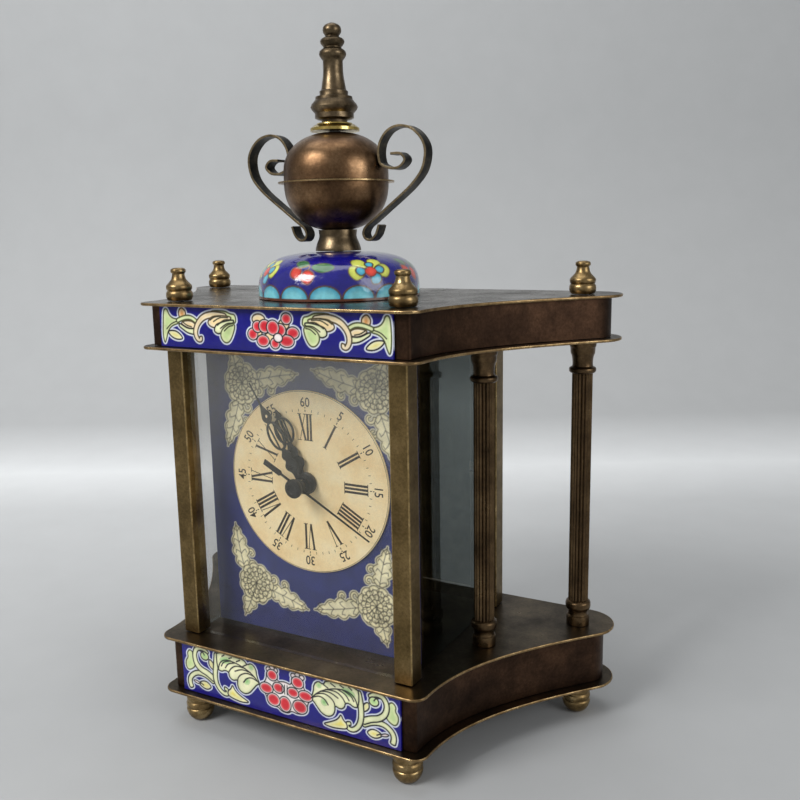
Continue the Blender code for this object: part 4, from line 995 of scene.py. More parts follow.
class Canvas:
    """Colours on the points of a surface, laid down in millimetres."""

    def __init__(self, across: np.ndarray, up: np.ndarray, colour: np.ndarray, blur: float) -> None:
        """Start a canvas.

        Args:
            across: Place of each point across the surface.
            up: Place of each point up the surface.
            colour: RGBA of each point, which the canvas changes in place.
            blur: Width over which an edge fades.
        """
        self.across = across
        self.up = up
        self.colour = colour
        self.blur = blur

    def away(self, path: np.ndarray, closed: bool, reach: float) -> tuple[np.ndarray, np.ndarray]:
        """Distance of the nearby points from a path.

        Args:
            path: Corners of the path.
            closed: Whether it is a loop; inside it the distance is negative.
            reach: How far out the points are wanted.

        Returns:
            The indices of the nearby points and their distances.
        """
        low, high = path.min(axis=0) - reach, path.max(axis=0) + reach
        near = (self.across > low[0]) & (self.across < high[0])
        near &= (self.up > low[1]) & (self.up < high[1])
        picked = np.nonzero(near)[0]
        x, y = self.across[picked], self.up[picked]
        best = np.full(len(picked), np.inf)
        inside = np.zeros(len(picked), dtype=bool)
        starts = path if closed else path[:-1]
        ends = np.roll(path, -1, axis=0) if closed else path[1:]
        for (ax, ay), (bx, by) in zip(starts, ends):
            dx, dy = bx - ax, by - ay
            share = np.clip(((x - ax) * dx + (y - ay) * dy) / (dx * dx + dy * dy + 1e-12), 0, 1)
            best = np.minimum(best, (x - ax - share * dx) ** 2 + (y - ay - share * dy) ** 2)
            if closed and ay != by:
                inside ^= ((ay > y) != (by > y)) & (x < dx * (y - ay) / dy + ax)
        distance = np.sqrt(best)
        return picked, np.where(inside, -distance, distance)

    def lay(self, picked: np.ndarray, beyond: np.ndarray, colour: object) -> None:
        """Lay a colour where a distance is negative, with a soft edge."""
        share = np.clip(0.5 - beyond / self.blur, 0, 1)[:, None]
        self.colour[picked] = self.colour[picked] * (1 - share) + np.asarray(colour) * share

    def stroke(self, path: Sequence[Pair], width: float, colour: Colour, passes: int = 2) -> None:
        """Draw a line along a path.

        Args:
            path: Corners of the path.
            width: Width of the line.
            colour: Its colour.
            passes: How smooth it is.
        """
        smooth = np.asarray(rounded(path, passes, closed=False))
        picked, distance = self.away(smooth, False, width + self.blur)
        self.lay(picked, distance - width / 2, colour)

    def halo(self, cell: Cell) -> None:
        """Lay the pale ring round a cell."""
        style = cell.style
        if not style.halo_width:
            return
        loop = np.asarray(rounded(cell.loop, cell.passes))
        out = style.line_width / 2 + style.halo_width
        picked, distance = self.away(loop, True, out + self.blur)
        self.lay(picked, distance - out, style.halo)

    def fill(self, cell: Cell) -> None:
        """Lay a cell's dark line and its shaded fill."""
        style = cell.style
        loop = np.asarray(rounded(cell.loop, cell.passes))
        half = style.line_width / 2
        picked, distance = self.away(loop, True, half + self.blur)
        self.lay(picked, distance - half, style.line)
        share = np.clip(-(distance + half) / style.depth, 0, 1)[:, None]
        shaded = np.asarray(style.rim) * (1 - share) + np.asarray(style.heart) * share
        self.lay(picked, distance + half, shaded)

    def cells(self, cells: Sequence[Cell]) -> None:
        """Lay all halos and then all cells, so that no halo covers a cell."""
        for cell in cells:
            self.halo(cell)
        for cell in cells:
            self.fill(cell)


def petal(root: Pair, tip: Pair, width: float, full: float = 0.55) -> list[Pair]:
    """Outline of a petal or leaflet.

    Args:
        root: Where it grows from.
        tip: Its tip.
        width: Its greatest width.
        full: Where along it is widest.

    Returns:
        The closed outline.
    """
    root_point, tip_point = Vector(root), Vector(tip)
    along = tip_point - root_point
    side = Vector((-along.y, along.x)).normalized() * width / 2
    shares = ((0, 0.25), (full * 0.5, 0.85), (full, 1.05), ((1 + full) / 2, 0.85), (1, 0.28))
    left = [tuple(root_point + along * share + side * wide) for share, wide in shares]
    right = [tuple(root_point + along * share - side * wide) for share, wide in reversed(shares)]
    return left + right


def band(path: Sequence[Pair], start_width: float, end_width: float) -> list[Pair]:
    """Outline of a stem that changes width along its path.

    Args:
        path: The middle of the stem.
        start_width: Width at its start.
        end_width: Width at its end.

    Returns:
        The closed outline.
    """
    return ribbon(rounded(path, 2, closed=False), start_width, end_width)


def spiral(centre: Pair, radius: float, start: float, sweep: float, steps: int = 12) -> list[Pair]:
    """A curl that winds in towards its centre.

    Args:
        centre: Its centre.
        radius: Its outer radius.
        start: Angle of its outer end in degrees.
        sweep: How far it winds, in degrees.
        steps: Points on it.

    Returns:
        The path.
    """
    path = []
    for step in range(steps + 1):
        share = step / steps
        angle = math.radians(start + sweep * share)
        reach = radius * (1 - 0.72 * share)
        path.append((centre[0] + reach * math.cos(angle), centre[1] + reach * math.sin(angle)))
    return path


def oval(centre: Pair, half_width: float, half_height: float, tilt: float = 0.0) -> list[Pair]:
    """Outline of an oval.

    Args:
        centre: Its centre.
        half_width: Half its width.
        half_height: Half its height.
        tilt: How far it is turned, in degrees.

    Returns:
        The closed outline.
    """
    turn = math.radians(tilt)
    loop = []
    for step in range(OVAL_CORNERS):
        angle = math.tau * step / OVAL_CORNERS
        x = half_width * OVAL_SWELL * math.cos(angle)
        y = half_height * OVAL_SWELL * math.sin(angle)
        loop.append((
            centre[0] + x * math.cos(turn) - y * math.sin(turn),
            centre[1] + x * math.sin(turn) + y * math.cos(turn),
        ))
    return loop


def across_axis(path: Sequence[Pair]) -> list[Pair]:
    """A path mirrored in the upright axis, a little off as drawn by hand."""
    return [
        (-0.985 * x + 0.35 * math.sin(y / 3.1), y + 0.40 * math.sin(x / 5.3)) for x, y in path
    ]


def mirrored(cells: Sequence[Cell]) -> list[Cell]:
    """The cells, and their images on the other side of the upright axis."""
    return [*cells, *(Cell(across_axis(cell.loop), cell.style, cell.passes) for cell in cells)]


def red_petals(ovals: Sequence[tuple[float, float, float, float]], rim: float) -> list[Cell]:
    """Round petals with a white rim and a red glaze.

    Args:
        ovals: Centre and half sizes of each petal.
        rim: Width of the white rim.

    Returns:
        The cells, each rim before its glaze.
    """
    cells = []
    for x, y, half_width, half_height in ovals:
        cells.append(Cell(oval((x, y), half_width, half_height), WHITE_CELL))
        cells.append(Cell(oval((x, y), half_width - rim, half_height - rim), RED_GLAZE))
    return cells


def aster(
    centre: Pair, rings: Sequence[tuple[float, float, int]], width: float, style: CellStyle,
) -> list[Cell]:
    """A round flower of several rings of petals, the outer ring first.

    Args:
        centre: Its centre.
        rings: Inner radius, outer radius and petals of each ring.
        width: Width of a petal against the room that it has.
        style: Colours of the petals.

    Returns:
        The cells of the flower.
    """
    cells = []
    for ring, (inner, outer, count) in enumerate(rings):
        for index in range(count):
            angle = math.tau * (index + ring / 2) / count
            across, up = math.cos(angle), math.sin(angle)
            root = (centre[0] + inner * across, centre[1] + inner * up)
            tip = (centre[0] + outer * across, centre[1] + outer * up)
            room = math.tau * outer / count * width
            cells.append(Cell(petal(root, tip, room, 0.7), style))
    return cells


class Ornament:
    """Layouts of the enamel ornament, traditional flowers and scrolls."""

    GROUND = linear(24, 22, 128)
    PANEL_GROUND = linear(40, 50, 112)
    LINE = linear(28, 26, 34)
    FINE_LINE = linear(56, 50, 34)

    @staticmethod
    def both_sides(canvas: Canvas, lines: Sequence[Sequence[Pair]], width: float,
                   colour: Colour) -> None:
        """Draw lines, and their images on the other side of the upright axis."""
        for line in lines:
            canvas.stroke(line, width, colour)
            canvas.stroke(across_axis(line), width, colour)

    @staticmethod
    def base_plaque(canvas: Canvas) -> None:
        """Red flower between broad feathered leaves and thick scrolled stems."""
        sides = [
            Cell([(48.0, 1.0), (49.4, 4.4), (49.4, 7.2), (51.2, 8.2), (52.8, 6.4), (52.2, 4.6),
                  (53.8, 2.6), (53.4, -0.2), (52.0, -1.6), (49.8, -0.8)], OLIVE_CELL),
            Cell(band([(37.4, -5.0), (41.6, -2.6), (47.0, -1.9), (50.8, -4.4), (51.6, -7.2),
                       (50.8, -9.8)],
                      2.2, 2.4), YELLOW_CELL),
            Cell(band([(37.0, -3.6), (41.0, -1.4), (45.0, -0.4), (48.0, 2.2), (48.8, 6.2),
                       (47.0, 9.4), (43.2, 9.8), (40.6, 7.8)], 2.8, 1.9), YELLOW_CELL),
            Cell(oval((42.8, 6.4), 2.2, 1.9), GREEN_CELL),
            Cell(petal((38.2, 1.2), (40.2, 5.2), 2.5), GOLD_CELL),
            Cell(petal((39.6, -7.5), (46.0, -7.1), 3.6, 0.45), GOLD_CELL),
            Cell(petal((45.6, -7.2), (49.2, -6.2), 1.2), WHITE_CELL),
            Cell(band([(35.6, 9.4), (36.8, 4.0), (37.0, -2.0), (35.6, -6.2), (32.8, -8.5),
                       (30.2, -8.0), (30.2, -6.0), (32.0, -5.8)], 2.7, 1.6), YELLOW_CELL),
            Cell([(18.4, -9.2), (22.0, -7.6), (25.0, -6.0), (26.4, -4.6), (27.4, -2.8),
                  (28.4, -5.2), (30.0, -6.2), (30.4, -8.6), (26.6, -9.4), (22.6, -9.8)], GOLD_CELL),
            Cell([(12.8, 0.4), (14.4, 3.4), (14.8, 7.2), (17.0, 9.0), (19.4, 8.0), (20.6, 10.0),
                  (26.0, 10.4), (35.6, 10.4), (36.2, 6.0), (35.4, 2.0), (33.6, 1.6), (31.4, 2.8),
                  (29.6, 2.4), (29.2, 0.4), (27.2, -0.8), (24.6, 0.2), (24.7, -2.0), (23.6, -4.4),
                  (21.0, -5.6), (18.2, -4.8), (16.0, -2.4), (14.4, -0.4)], YELLOW_CELL, 1),
            Cell(oval((31.2, 7.4), 3.2, 1.6, -16), GREEN_GLAZE),
            Cell(oval((19.6, 0.4), 1.6, 1.6), GREEN_GLAZE),
            Cell(oval((17.2, 7.2), 1.2, 1.2), GREEN_GLAZE),
        ]
        backing = [(-12.8, 0.0), (-9.0, 3.2), (-8.8, 8.2), (-3.4, 8.6), (-3.6, 3.8), (0.2, 4.8),
                   (3.8, 3.8), (3.8, 8.4), (9.8, 8.8), (9.4, 3.4), (14.2, 1.0), (11.4, -2.2),
                   (10.9, -6.8), (6.6, -8.4), (3.2, -7.6), (1.6, -9.2), (-2.0, -9.0), (-3.4, -7.4),
                   (-8.6, -7.6), (-9.2, -3.4)]
        flower = [Cell(backing, WHITE_CELL)]
        flower += [Cell(oval((x, y), 1.2, 1.1), WHITE_CELL) for x, y in (
            (4.8, 8.4), (6.9, 9.2), (9.0, 8.5), (-4.2, 8.7), (-5.9, 9.3), (-7.7, 8.4),
        )]
        flower += red_petals((
            (6.8, 5.8, 3.0, 2.6), (-5.9, 6.2, 2.7, 2.5), (10.5, 0.7, 3.5, 2.4),
            (-9.2, -0.3, 3.4, 2.5), (4.3, 0.8, 2.9, 2.3), (-3.0, 1.2, 2.8, 2.4),
            (0.1, -5.4, 3.0, 3.4), (7.6, -4.8, 3.6, 3.0), (-5.7, -4.7, 3.3, 2.9),
        ), 0.62)
        canvas.cells(mirrored(sides) + flower)
        Ornament.both_sides(canvas, (
            [(13.2, 0.6), (16.4, 3.8), (20.4, 6.1), (25.4, 7.7), (30.6, 8.0), (34.2, 6.0),
             (35.4, 2.2)],
            [(14.4, 1.4), (17.0, 2.6), (19.8, 1.9), (21.4, -0.3)],
            [(15.6, 3.0), (19.4, 4.4), (22.8, 3.2), (24.4, 1.4), (24.6, 0.2)],
            [(18.0, 4.8), (22.4, 5.6), (26.2, 3.8)],
            [(20.6, 6.2), (25.4, 6.6), (28.4, 4.6), (29.5, 2.6)],
            [(26.0, 7.6), (29.8, 6.4), (31.4, 4.0)],
            [(28.4, 7.9), (32.4, 6.4), (33.6, 4.2)],
            [(19.6, 8.0), (21.6, 7.0)], [(23.0, 9.4), (25.0, 8.4)], [(27.4, 9.6), (29.0, 8.9)],
            [(31.4, 9.8), (32.8, 8.8)],
            [(45.2, 8.3), (43.6, 7.9), (42.9, 6.8)],
            [(43.8, -7.6), (45.2, -6.8)],
        ), 0.62, Ornament.LINE)
        for x in (-1.2, 0.1, 1.4):
            canvas.stroke([(x, -0.8), (x + 0.1, 3.2)], 0.5, Ornament.LINE, 0)

    @staticmethod
    def top_plaque(canvas: Canvas) -> None:
        """Clustered red flower between fingered leaves, curled stems and trumpet flowers."""
        sides = [
            Cell([(44.6, 2.9), (48.4, 3.2), (50.6, 4.8), (51.6, 7.6), (53.4, 7.2), (53.9, 2.0),
                  (53.9, -3.0), (53.2, -7.0), (51.9, -4.6), (51.0, -1.4), (48.6, 0.6),
                  (45.2, 1.2)], OLIVE_CELL),
            Cell(petal((43.2, 2.2), (43.8, 7.4), 3.8, 0.6), ORANGE_CELL),
            Cell(band([(35.4, 1.8), (38.6, 3.8), (42.6, 3.6), (46.6, 2.2)], 1.6, 1.7), OLIVE_CELL),
            Cell(petal((36.2, 0.4), (43.8, 1.4), 3.0, 0.4), PEACH_CELL),
            Cell(band([(36.6, -1.8), (40.6, -1.8), (45.2, 0.8)], 2.4, 1.2), YELLOW_CELL),
            Cell(petal((43.4, -4.9), (50.8, -2.0), 3.0, 0.5), GOLD_CELL),
            # This leaf cap takes a duller olive as painted shade, where the roof plate shades the
            # plaque.
            Cell([(15.8, 1.6), (16.0, 5.8), (18.8, 6.2), (21.0, 7.4), (25.0, 7.6), (29.0, 7.2),
                  (24.0, 4.6)],
                 OLIVE_CELL),
            Cell(band([(20.6, 5.0), (26.6, 6.2), (32.2, 4.9), (35.6, 1.6), (36.6, -2.2),
                       (35.2, -5.0), (33.4, -4.6), (33.8, -3.4)], 2.6, 1.7), PEACH_CELL),
            Cell(petal((18.4, 4.6), (30.0, 2.4), 4.4, 0.72), PEACH_CELL),
            Cell(petal((17.0, 3.4), (26.6, -0.4), 4.0, 0.78), YELLOW_CELL),
            Cell([(16.0, 2.2), (19.4, 2.4), (22.8, 0.4), (23.6, -2.4), (21.8, -5.0), (19.2, -5.2),
                  (17.2, -2.4)], OLIVE_CELL),
        ]
        petals = [Cell(oval((x, y), a, b), PEACH_CELL) for x, y, a, b in (
            (-4.4, 4.4, 3.0, 2.0), (0.4, -2.6, 2.2, 2.0), (7.4, 2.8, 2.4, 1.9),
            (-5.2, -1.4, 2.2, 1.9),
        )]
        petals += red_petals((
            (-7.4, -1.4, 2.4, 2.3), (11.4, -0.3, 2.9, 2.3), (8.6, 5.0, 2.4, 2.2),
            (-5.0, 1.6, 2.4, 2.3), (8.4, -3.5, 3.5, 2.4), (5.6, 0.6, 2.6, 2.5),
            (-1.6, 1.8, 2.8, 2.6), (2.2, 1.4, 2.9, 2.9), (-2.6, -3.8, 2.9, 2.3),
            (3.0, -4.6, 2.2, 2.1),
        ), 0.55)
        petals.append(Cell(oval((4.5, -2.4), 2.0, 1.7), WHITE_CELL))
        canvas.cells(mirrored(sides) + petals)
        Ornament.both_sides(canvas, (
            [(17.4, 1.6), (19.4, 1.4), (21.6, -0.4)],
            [(17.6, 2.6), (20.6, 2.6), (23.6, 0.6)],
            [(18.4, 3.8), (21.8, 4.2), (25.2, 1.8)],
            [(20.0, 4.8), (24.0, 5.0), (27.2, 3.2)],
            [(23.6, 5.4), (27.0, 5.0), (29.0, 3.6)],
            [(46.8, 2.0), (49.6, 1.2), (51.8, -0.8)],
            [(38.6, 0.0), (41.0, 0.4), (43.0, 1.6)],
        ), 0.56, linear(52, 54, 36))

    @staticmethod
    def dome(angle: np.ndarray, radius: np.ndarray, climb: np.ndarray, colour: np.ndarray) -> None:
        """Turquoise scallops along the rim, and sprigs and flowers above them.

        Args:
            angle: Angle of each point, from the front towards the right.
            radius: Its distance from the axis in millimetres.
            climb: Its distance from the rim along the surface in millimetres.
            colour: RGBA of each point, changed in place.
        """
        scallops, motifs = 16, 8
        for index in range(scallops):
            turn = math.tau * index / scallops
            local = (angle - turn + math.pi) % math.tau - math.pi
            canvas = Canvas(local * radius, climb, colour, 0.30)
            arch = [(6.5 * math.cos(a), 0.9 + 5.2 * math.sin(a)) for a in np.linspace(0, math.pi,
                                                                                      13)]
            canvas.cells([Cell(arch + [(-6.5, -2.0), (6.5, -2.0)], CYAN_DOME, 1)])
            canvas.stroke(arch, 0.7, linear(88, 58, 46), 1)
        for index in range(motifs):
            turn = math.radians(9.8 + 45 * index)
            local = (angle - turn + math.pi) % math.tau - math.pi
            canvas = Canvas(local * radius / 1.25, (climb - 12.2) / 1.25 + 13.2, colour, 0.26)
            if index % 2:
                canvas.cells([
                    Cell(petal((1.0, 14.2), (3.8, 18.4), 5.0, 0.6), LIME_DOME),
                    Cell(petal((-1.0, 14.2), (-4.6, 18.0), 5.0, 0.6), LIME_DOME),
                    Cell(petal((1.6, 13.2), (7.4, 13.2), 5.2, 0.65), LIME_DOME),
                    Cell(petal((-1.6, 13.0), (-7.2, 12.2), 5.2, 0.65), LIME_DOME),
                    Cell(petal((0.4, 12.0), (2.6, 8.8), 4.2, 0.6), CYAN_DOME),
                    Cell(petal((0.6, 14.2), (0.2, 16.8), 3.0, 0.6), CYAN_DOME),
                    Cell(petal((1.6, 13.4), (5.2, 13.6), 3.0, 0.6), CYAN_DOME),
                    Cell(petal((-1.4, 13.2), (-4.8, 12.8), 3.2, 0.6), CYAN_DOME),
                    Cell(petal((-1.8, 12.8), (2.2, 12.8), 3.6, 0.5), RED_DOME),
                ])
            else:
                canvas.cells([
                    Cell(petal((-0.4, 15.6), (-5.2, 17.4), 3.6, 0.5), GREEN_DOME),
                    Cell(petal((0.8, 15.2), (8.2, 14.4), 4.0, 0.5), GREEN_DOME),
                    Cell(petal((-5.4, 14.6), (-3.2, 10.8), 4.0, 0.5), RED_DOME),
                    Cell(petal((-0.6, 13.6), (0.6, 9.0), 4.4, 0.5), RED_DOME),
                ])
                canvas.stroke([(-3.6, 14.2), (0.2, 16.2), (0.0, 13.4)], 0.35, linear(150, 110, 60))
        picked = np.nonzero(climb < 0.9)[0]
        colour[picked] = np.asarray(linear(96, 54, 36))

    @staticmethod
    def leaf(root: Pair, tip: Pair, width: float, lobes: int) -> tuple[list[Cell],
                                                                       list[list[Pair]]]:
        """A long leaf with a lobed edge and a vein to each lobe.

        Args:
            root: Where it grows from.
            tip: Its tip.
            width: Its greatest width.
            lobes: Lobes along each side.

        Returns:
            Its cells and its veins.
        """
        start, along = Vector(root), Vector(tip) - Vector(root)
        side = Vector((-along.y, along.x)).normalized()
        steps = lobes * 7
        edges = {1: [], -1: []}
        for step in range(steps + 1):
            share = step / steps
            wide = width / 2 * math.sin(math.pi * min(share + 0.06, 1) ** 0.8) ** 0.7
            wide *= 0.70 + 0.36 * abs(math.sin(math.pi * lobes * share))
            for sign, edge in edges.items():
                edge.append(tuple(start + along * share + side * sign * wide))
        cells = [Cell(edges[1] + edges[-1][::-1], CREAM_CELL, 0)]
        veins = [[root, tuple(start + along * 0.5 + side * width * 0.05), tip]]
        for lobe in range(lobes):
            share = (lobe + 0.25) / lobes
            for sign in (1, -1):
                base = start + along * share
                middle = base + along * 0.06 + side * sign * width * 0.14
                veins.append([tuple(base), tuple(middle),
                              tuple(base + along * 0.09 + side * sign * width * 0.30)])
                curl = base + along * 0.02 + side * sign * width * 0.34
                veins.append([tuple(curl), tuple(curl + along * 0.05 - side * sign * 0.3)])
        return cells, veins

    @staticmethod
    def spray(canvas: Canvas, flower: Pair, leaves: Sequence[tuple[Pair, Pair]], end: Pair) -> None:
        """One corner spray: a layered flower, long lobed leaves and small curls.

        Args:
            canvas: Where it is painted.
            flower: Centre of the flower.
            leaves: Root and tip of each long leaf.
            end: Tip of the short leaf at the outer end.
        """
        cells, lines = [], []
        for root, tip in (*leaves, (flower, end)):
            start, along = Vector(root), Vector(tip) - Vector(root)
            side = Vector((-along.y, along.x)).normalized()
            inward = 1.0 if side.dot(-Vector(flower)) > 0 else -1.0
            facing = math.degrees(math.atan2(along.y, along.x))
            for share, reach, size in ((0.02, 5.2, 2.3), (0.30, 5.4, 1.9)):
                curl = start + along * share + side * inward * reach
                path = spiral(tuple(curl), size, facing - 90 * inward, 320 * inward)
                cells.append(Cell(band(path, 1.5, 0.9), CREAM_CELL, 1))
            leaf_cells, veins = Ornament.leaf(root, tip, 8.8, 4)
            cells += leaf_cells
            lines += veins
        cells += aster(flower, ((4.6, 9.2, 11), (3.2, 7.4, 13), (1.8, 5.4, 12), (0.4, 3.2, 8)), 0.9,
                       CREAM_CELL)
        canvas.cells(cells)
        for line in lines:
            canvas.stroke(line, 0.34, Ornament.FINE_LINE, 1)
        for index in range(44):
            turn = math.tau * (index + 0.5) / 44
            near, far = ((5.9, 7.8), (3.9, 5.4))[index % 2]
            canvas.stroke([
                (flower[0] + near * math.cos(turn), flower[1] + near * math.sin(turn)),
                (flower[0] + far * math.cos(turn), flower[1] + far * math.sin(turn)),
            ], 0.3, Ornament.FINE_LINE, 0)

    @staticmethod
    def dial_panel(canvas: Canvas) -> None:
        """Four corner sprays."""
        for flower, leaves, end in (
            ((-30.2, -50.0), (((-36.6, -43.6), (-40.4, -23.6)), ((-22.6, -51.8), (-2.8, -57.4))),
             (-37.4, -66.4)),
            ((31.2, -49.6), (((32.8, -40.4), (37.0, -22.8)), ((22.6, -51.6), (0.4, -56.6))),
             (36.0, -66.0)),
            ((-32.7, 39.6), (((-25.4, 41.6), (-3.8, 45.4)), ((-35.0, 31.6), (-42.2, 11.4))),
             (-37.6, 54.0)),
            ((32.8, 40.6), (((25.4, 41.2), (3.0, 47.6)), ((35.0, 31.6), (41.6, 11.4))),
             (37.6, 54.0)),
        ):
            Ornament.spray(canvas, flower, leaves, end)


def painted_slab(
    name: str, low: Vector, high: Vector, step: float, ground: Colour,
    paint: Callable[[Canvas], None], centre: Pair, window: float = 0.0,
) -> Shape:
    """An upright slab that faces -Y, with a painted front of fine squares.

    Args:
        name: Name of the piece.
        low: Its lowest corner.
        high: Its highest corner.
        step: Size of the squares.
        ground: Colour under the ornament.
        paint: Paints the ornament.
        centre: Origin of the ornament, as x and z.
        window: Half the width of a square window at that origin, or 0.

    Returns:
        The painted slab.
    """
    size = high - low
    deselect_all()
    bpy.ops.mesh.primitive_grid_add(
        x_subdivisions=round(size.x / step), y_subdivisions=round(size.z / step), size=2,
    )
    slab = bpy.context.object
    slab.name = name
    slab.data.name = name
    corners = points_of(slab)
    corners[:, 2] = low.z + (corners[:, 1] + 1) / 2 * size.z
    corners[:, 0] = low.x + (corners[:, 0] + 1) / 2 * size.x
    corners[:, 1] = low.y
    slab.data.vertices.foreach_set("co", corners.ravel())
    slab.data.update()
    if window:
        mark(slab, Kind.FACE, lambda p: max(abs(p.x - centre[0]), abs(p.z - centre[1])) < window)
        with editing(slab, Kind.FACE, everything=False):
            bpy.ops.mesh.delete(type="FACE")
    with editing(slab, Kind.EDGE):
        bpy.ops.mesh.select_all(action="DESELECT")
        bpy.ops.mesh.select_non_manifold(extend=False)
        bpy.ops.mesh.extrude_edges_move(TRANSFORM_OT_translate={"value": (0, size.y, 0)})
        bpy.ops.mesh.fill(use_beauty=False)
        bpy.ops.mesh.select_all(action="SELECT")
        bpy.ops.mesh.normals_make_consistent(inside=False)
    corners = points_of(slab)
    colour = np.tile(np.asarray(ground), (len(corners), 1))
    across, up = (corners[:, 0] - centre[0]) / MM, (corners[:, 2] - centre[1]) / MM
    paint(Canvas(across, up, colour, step / MM * EDGE_BLUR))
    save_colour(slab, colour)
    return slab


def save_colour(shape: Shape, colour: np.ndarray) -> None:
    """Write the painter's colours to a shape's points."""
    layer = shape.data.color_attributes.new(name="enamel", type="FLOAT_COLOR", domain="POINT")
    layer.data.foreach_set("color", colour.astype(np.float32).ravel())


# ----------------------------------------------------------------- assemblies


@dataclass(frozen=True)
class CasePlan:
    """Plan of the case: square front corners, hollow sides and two rear lobes."""

    depth: float = 0.110
    front_half: float = 0.065
    rear_half: float = 0.1108
    corner: float = 0.006
    sharpest: float = 0.0008
    lobe: float = 0.014
    entry: float = math.radians(-42)
    start_pull: float = 0.33
    end_pull: float = 0.48
    corner_steps: int = 8
    side_steps: int = 28
    lobe_steps: int = 20

    def loop(self, inset: float, level: float) -> list[Triple]:
        """The outline at a level, drawn in by an inset.

        Args:
            inset: How far it is drawn in.
            level: Its height.

        Returns:
            Its corners, anticlockwise from above.
        """
        radius = max(self.corner - inset, self.sharpest)
        corner = Vector((self.front_half - inset - radius, inset + radius - self.depth / 2))
        half = []
        for step in range(self.corner_steps + 1):
            angle = math.pi / 2 * (step / self.corner_steps - 1)
            half.append(corner + radius * Vector((math.cos(angle), math.sin(angle))))
        lobe = Vector((self.rear_half - self.lobe, self.depth / 2 - self.lobe))
        lobe_radius = self.lobe - inset
        heading = Vector((-math.sin(self.entry), math.cos(self.entry)))
        end = lobe + lobe_radius * Vector((heading.y, -heading.x))
        start = half[-1].copy()
        length = end.y - start.y
        out = start + Vector((0, length * self.start_pull))
        into = end - heading * length * self.end_pull
        for step in range(1, self.side_steps):
            half.append(curve_point(start, out, into, end, step / self.side_steps))
        sweep = math.pi / 2 - self.entry
        for step in range(self.lobe_steps + 1):
            angle = self.entry + sweep * step / self.lobe_steps
            half.append(lobe + lobe_radius * Vector((math.cos(angle), math.sin(angle))))
        right = [(point.x, point.y, level) for point in half]
        return right + [(-x, y, z) for x, y, z in reversed(right)]


@dataclass(frozen=True)
class CasePlates:
    """The four flared plates of the case."""

    plan: CasePlan = CasePlan()
    edge_width: float = 0.00035
    hinge_hole: float = 0.0014
    bolt_hole: float = 0.0024
    hinge_place: Pair = (-0.0468, 0.04245)
    upright: float = 0.3

    def plate(
        self, name: str, node: str, hole: tuple[Pair, float] | None = None,
        metal: AgedMetal = PLATE,
    ) -> None:
        """Make one plate in the place of its node.

        Args:
            name: Name of the plate.
            node: The CAD node that it replaces.
            hole: Place and radius of a hole, if it has one.
            metal: Its metal.
        """
        low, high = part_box(node)
        shape = raised(outline(name, self.plan.loop(0, low[2])), (0, 0, high[2] - low[2]))
        dress(shape, metal, PLATE_EDGE)
        bevelled(shape, self.edge_width, 2, 1)
        if hole:
            drilled(shape, hole[1], (*hole[0], low[2]))
        # Upright rim faces take the paler edge metal: partly wear, partly a painted highlight.
        for face in shape.data.polygons:
            if abs(face.normal.z) < self.upright:
                face.material_index = 1
        smoothed(shape, weighted=True)
        hand_over(shape, "case", "plate_bronze", (metal, PLATE_EDGE), node)

    def build(self) -> None:
        """Make all four."""
        hinge = (self.hinge_place, self.hinge_hole)
        self.plate("bottom_plate", "base_bottom_plate")
        self.plate("deck_plate", "base_top_plate", hinge)
        self.plate("ceiling_plate", "top_lower_plate", hinge)
        self.plate("roof_plate", "top_upper_plate", ((0, 0), self.bolt_hole), ROOF)


@dataclass(frozen=True)
class EnamelBox:
    """The wall band of one box, and the enamel plaque on its front."""

    name: str
    paint: Callable[[Canvas], None]
    plan: CasePlan = CasePlan()
    inset: float = 0.0045
    wall: float = 0.0012
    square: float = 0.0002

    def build(self) -> None:
        """Make the wall band and the plaque."""
        node = self.name + "_wall_band"
        low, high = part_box(node)
        band_shape = outline(self.name + "_walls", self.plan.loop(self.inset, low[2]), filled=False)
        with editing(band_shape, Kind.EDGE):
            bpy.ops.mesh.extrude_edges_move(TRANSFORM_OT_translate={"value": (0, 0,
                                                                              high[2] - low[2])})
            bpy.ops.mesh.select_all(action="SELECT")
            bpy.ops.mesh.normals_make_consistent(inside=False)
        smoothed(walled(band_shape, self.wall))
        hand_over(band_shape, "case", "wall_bronze", (WALL,), node)

        node = self.name + "_enamel_plaque"
        low, high = (Vector(corner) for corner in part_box(node))
        middle = (low + high) / 2
        slab = painted_slab(
            self.name + "_plaque", low, high, self.square, Ornament.GROUND, self.paint,
            (middle.x, middle.z),
        )
        hand_over(slab, "case", "cobalt_enamel", (ENAMEL,), node)


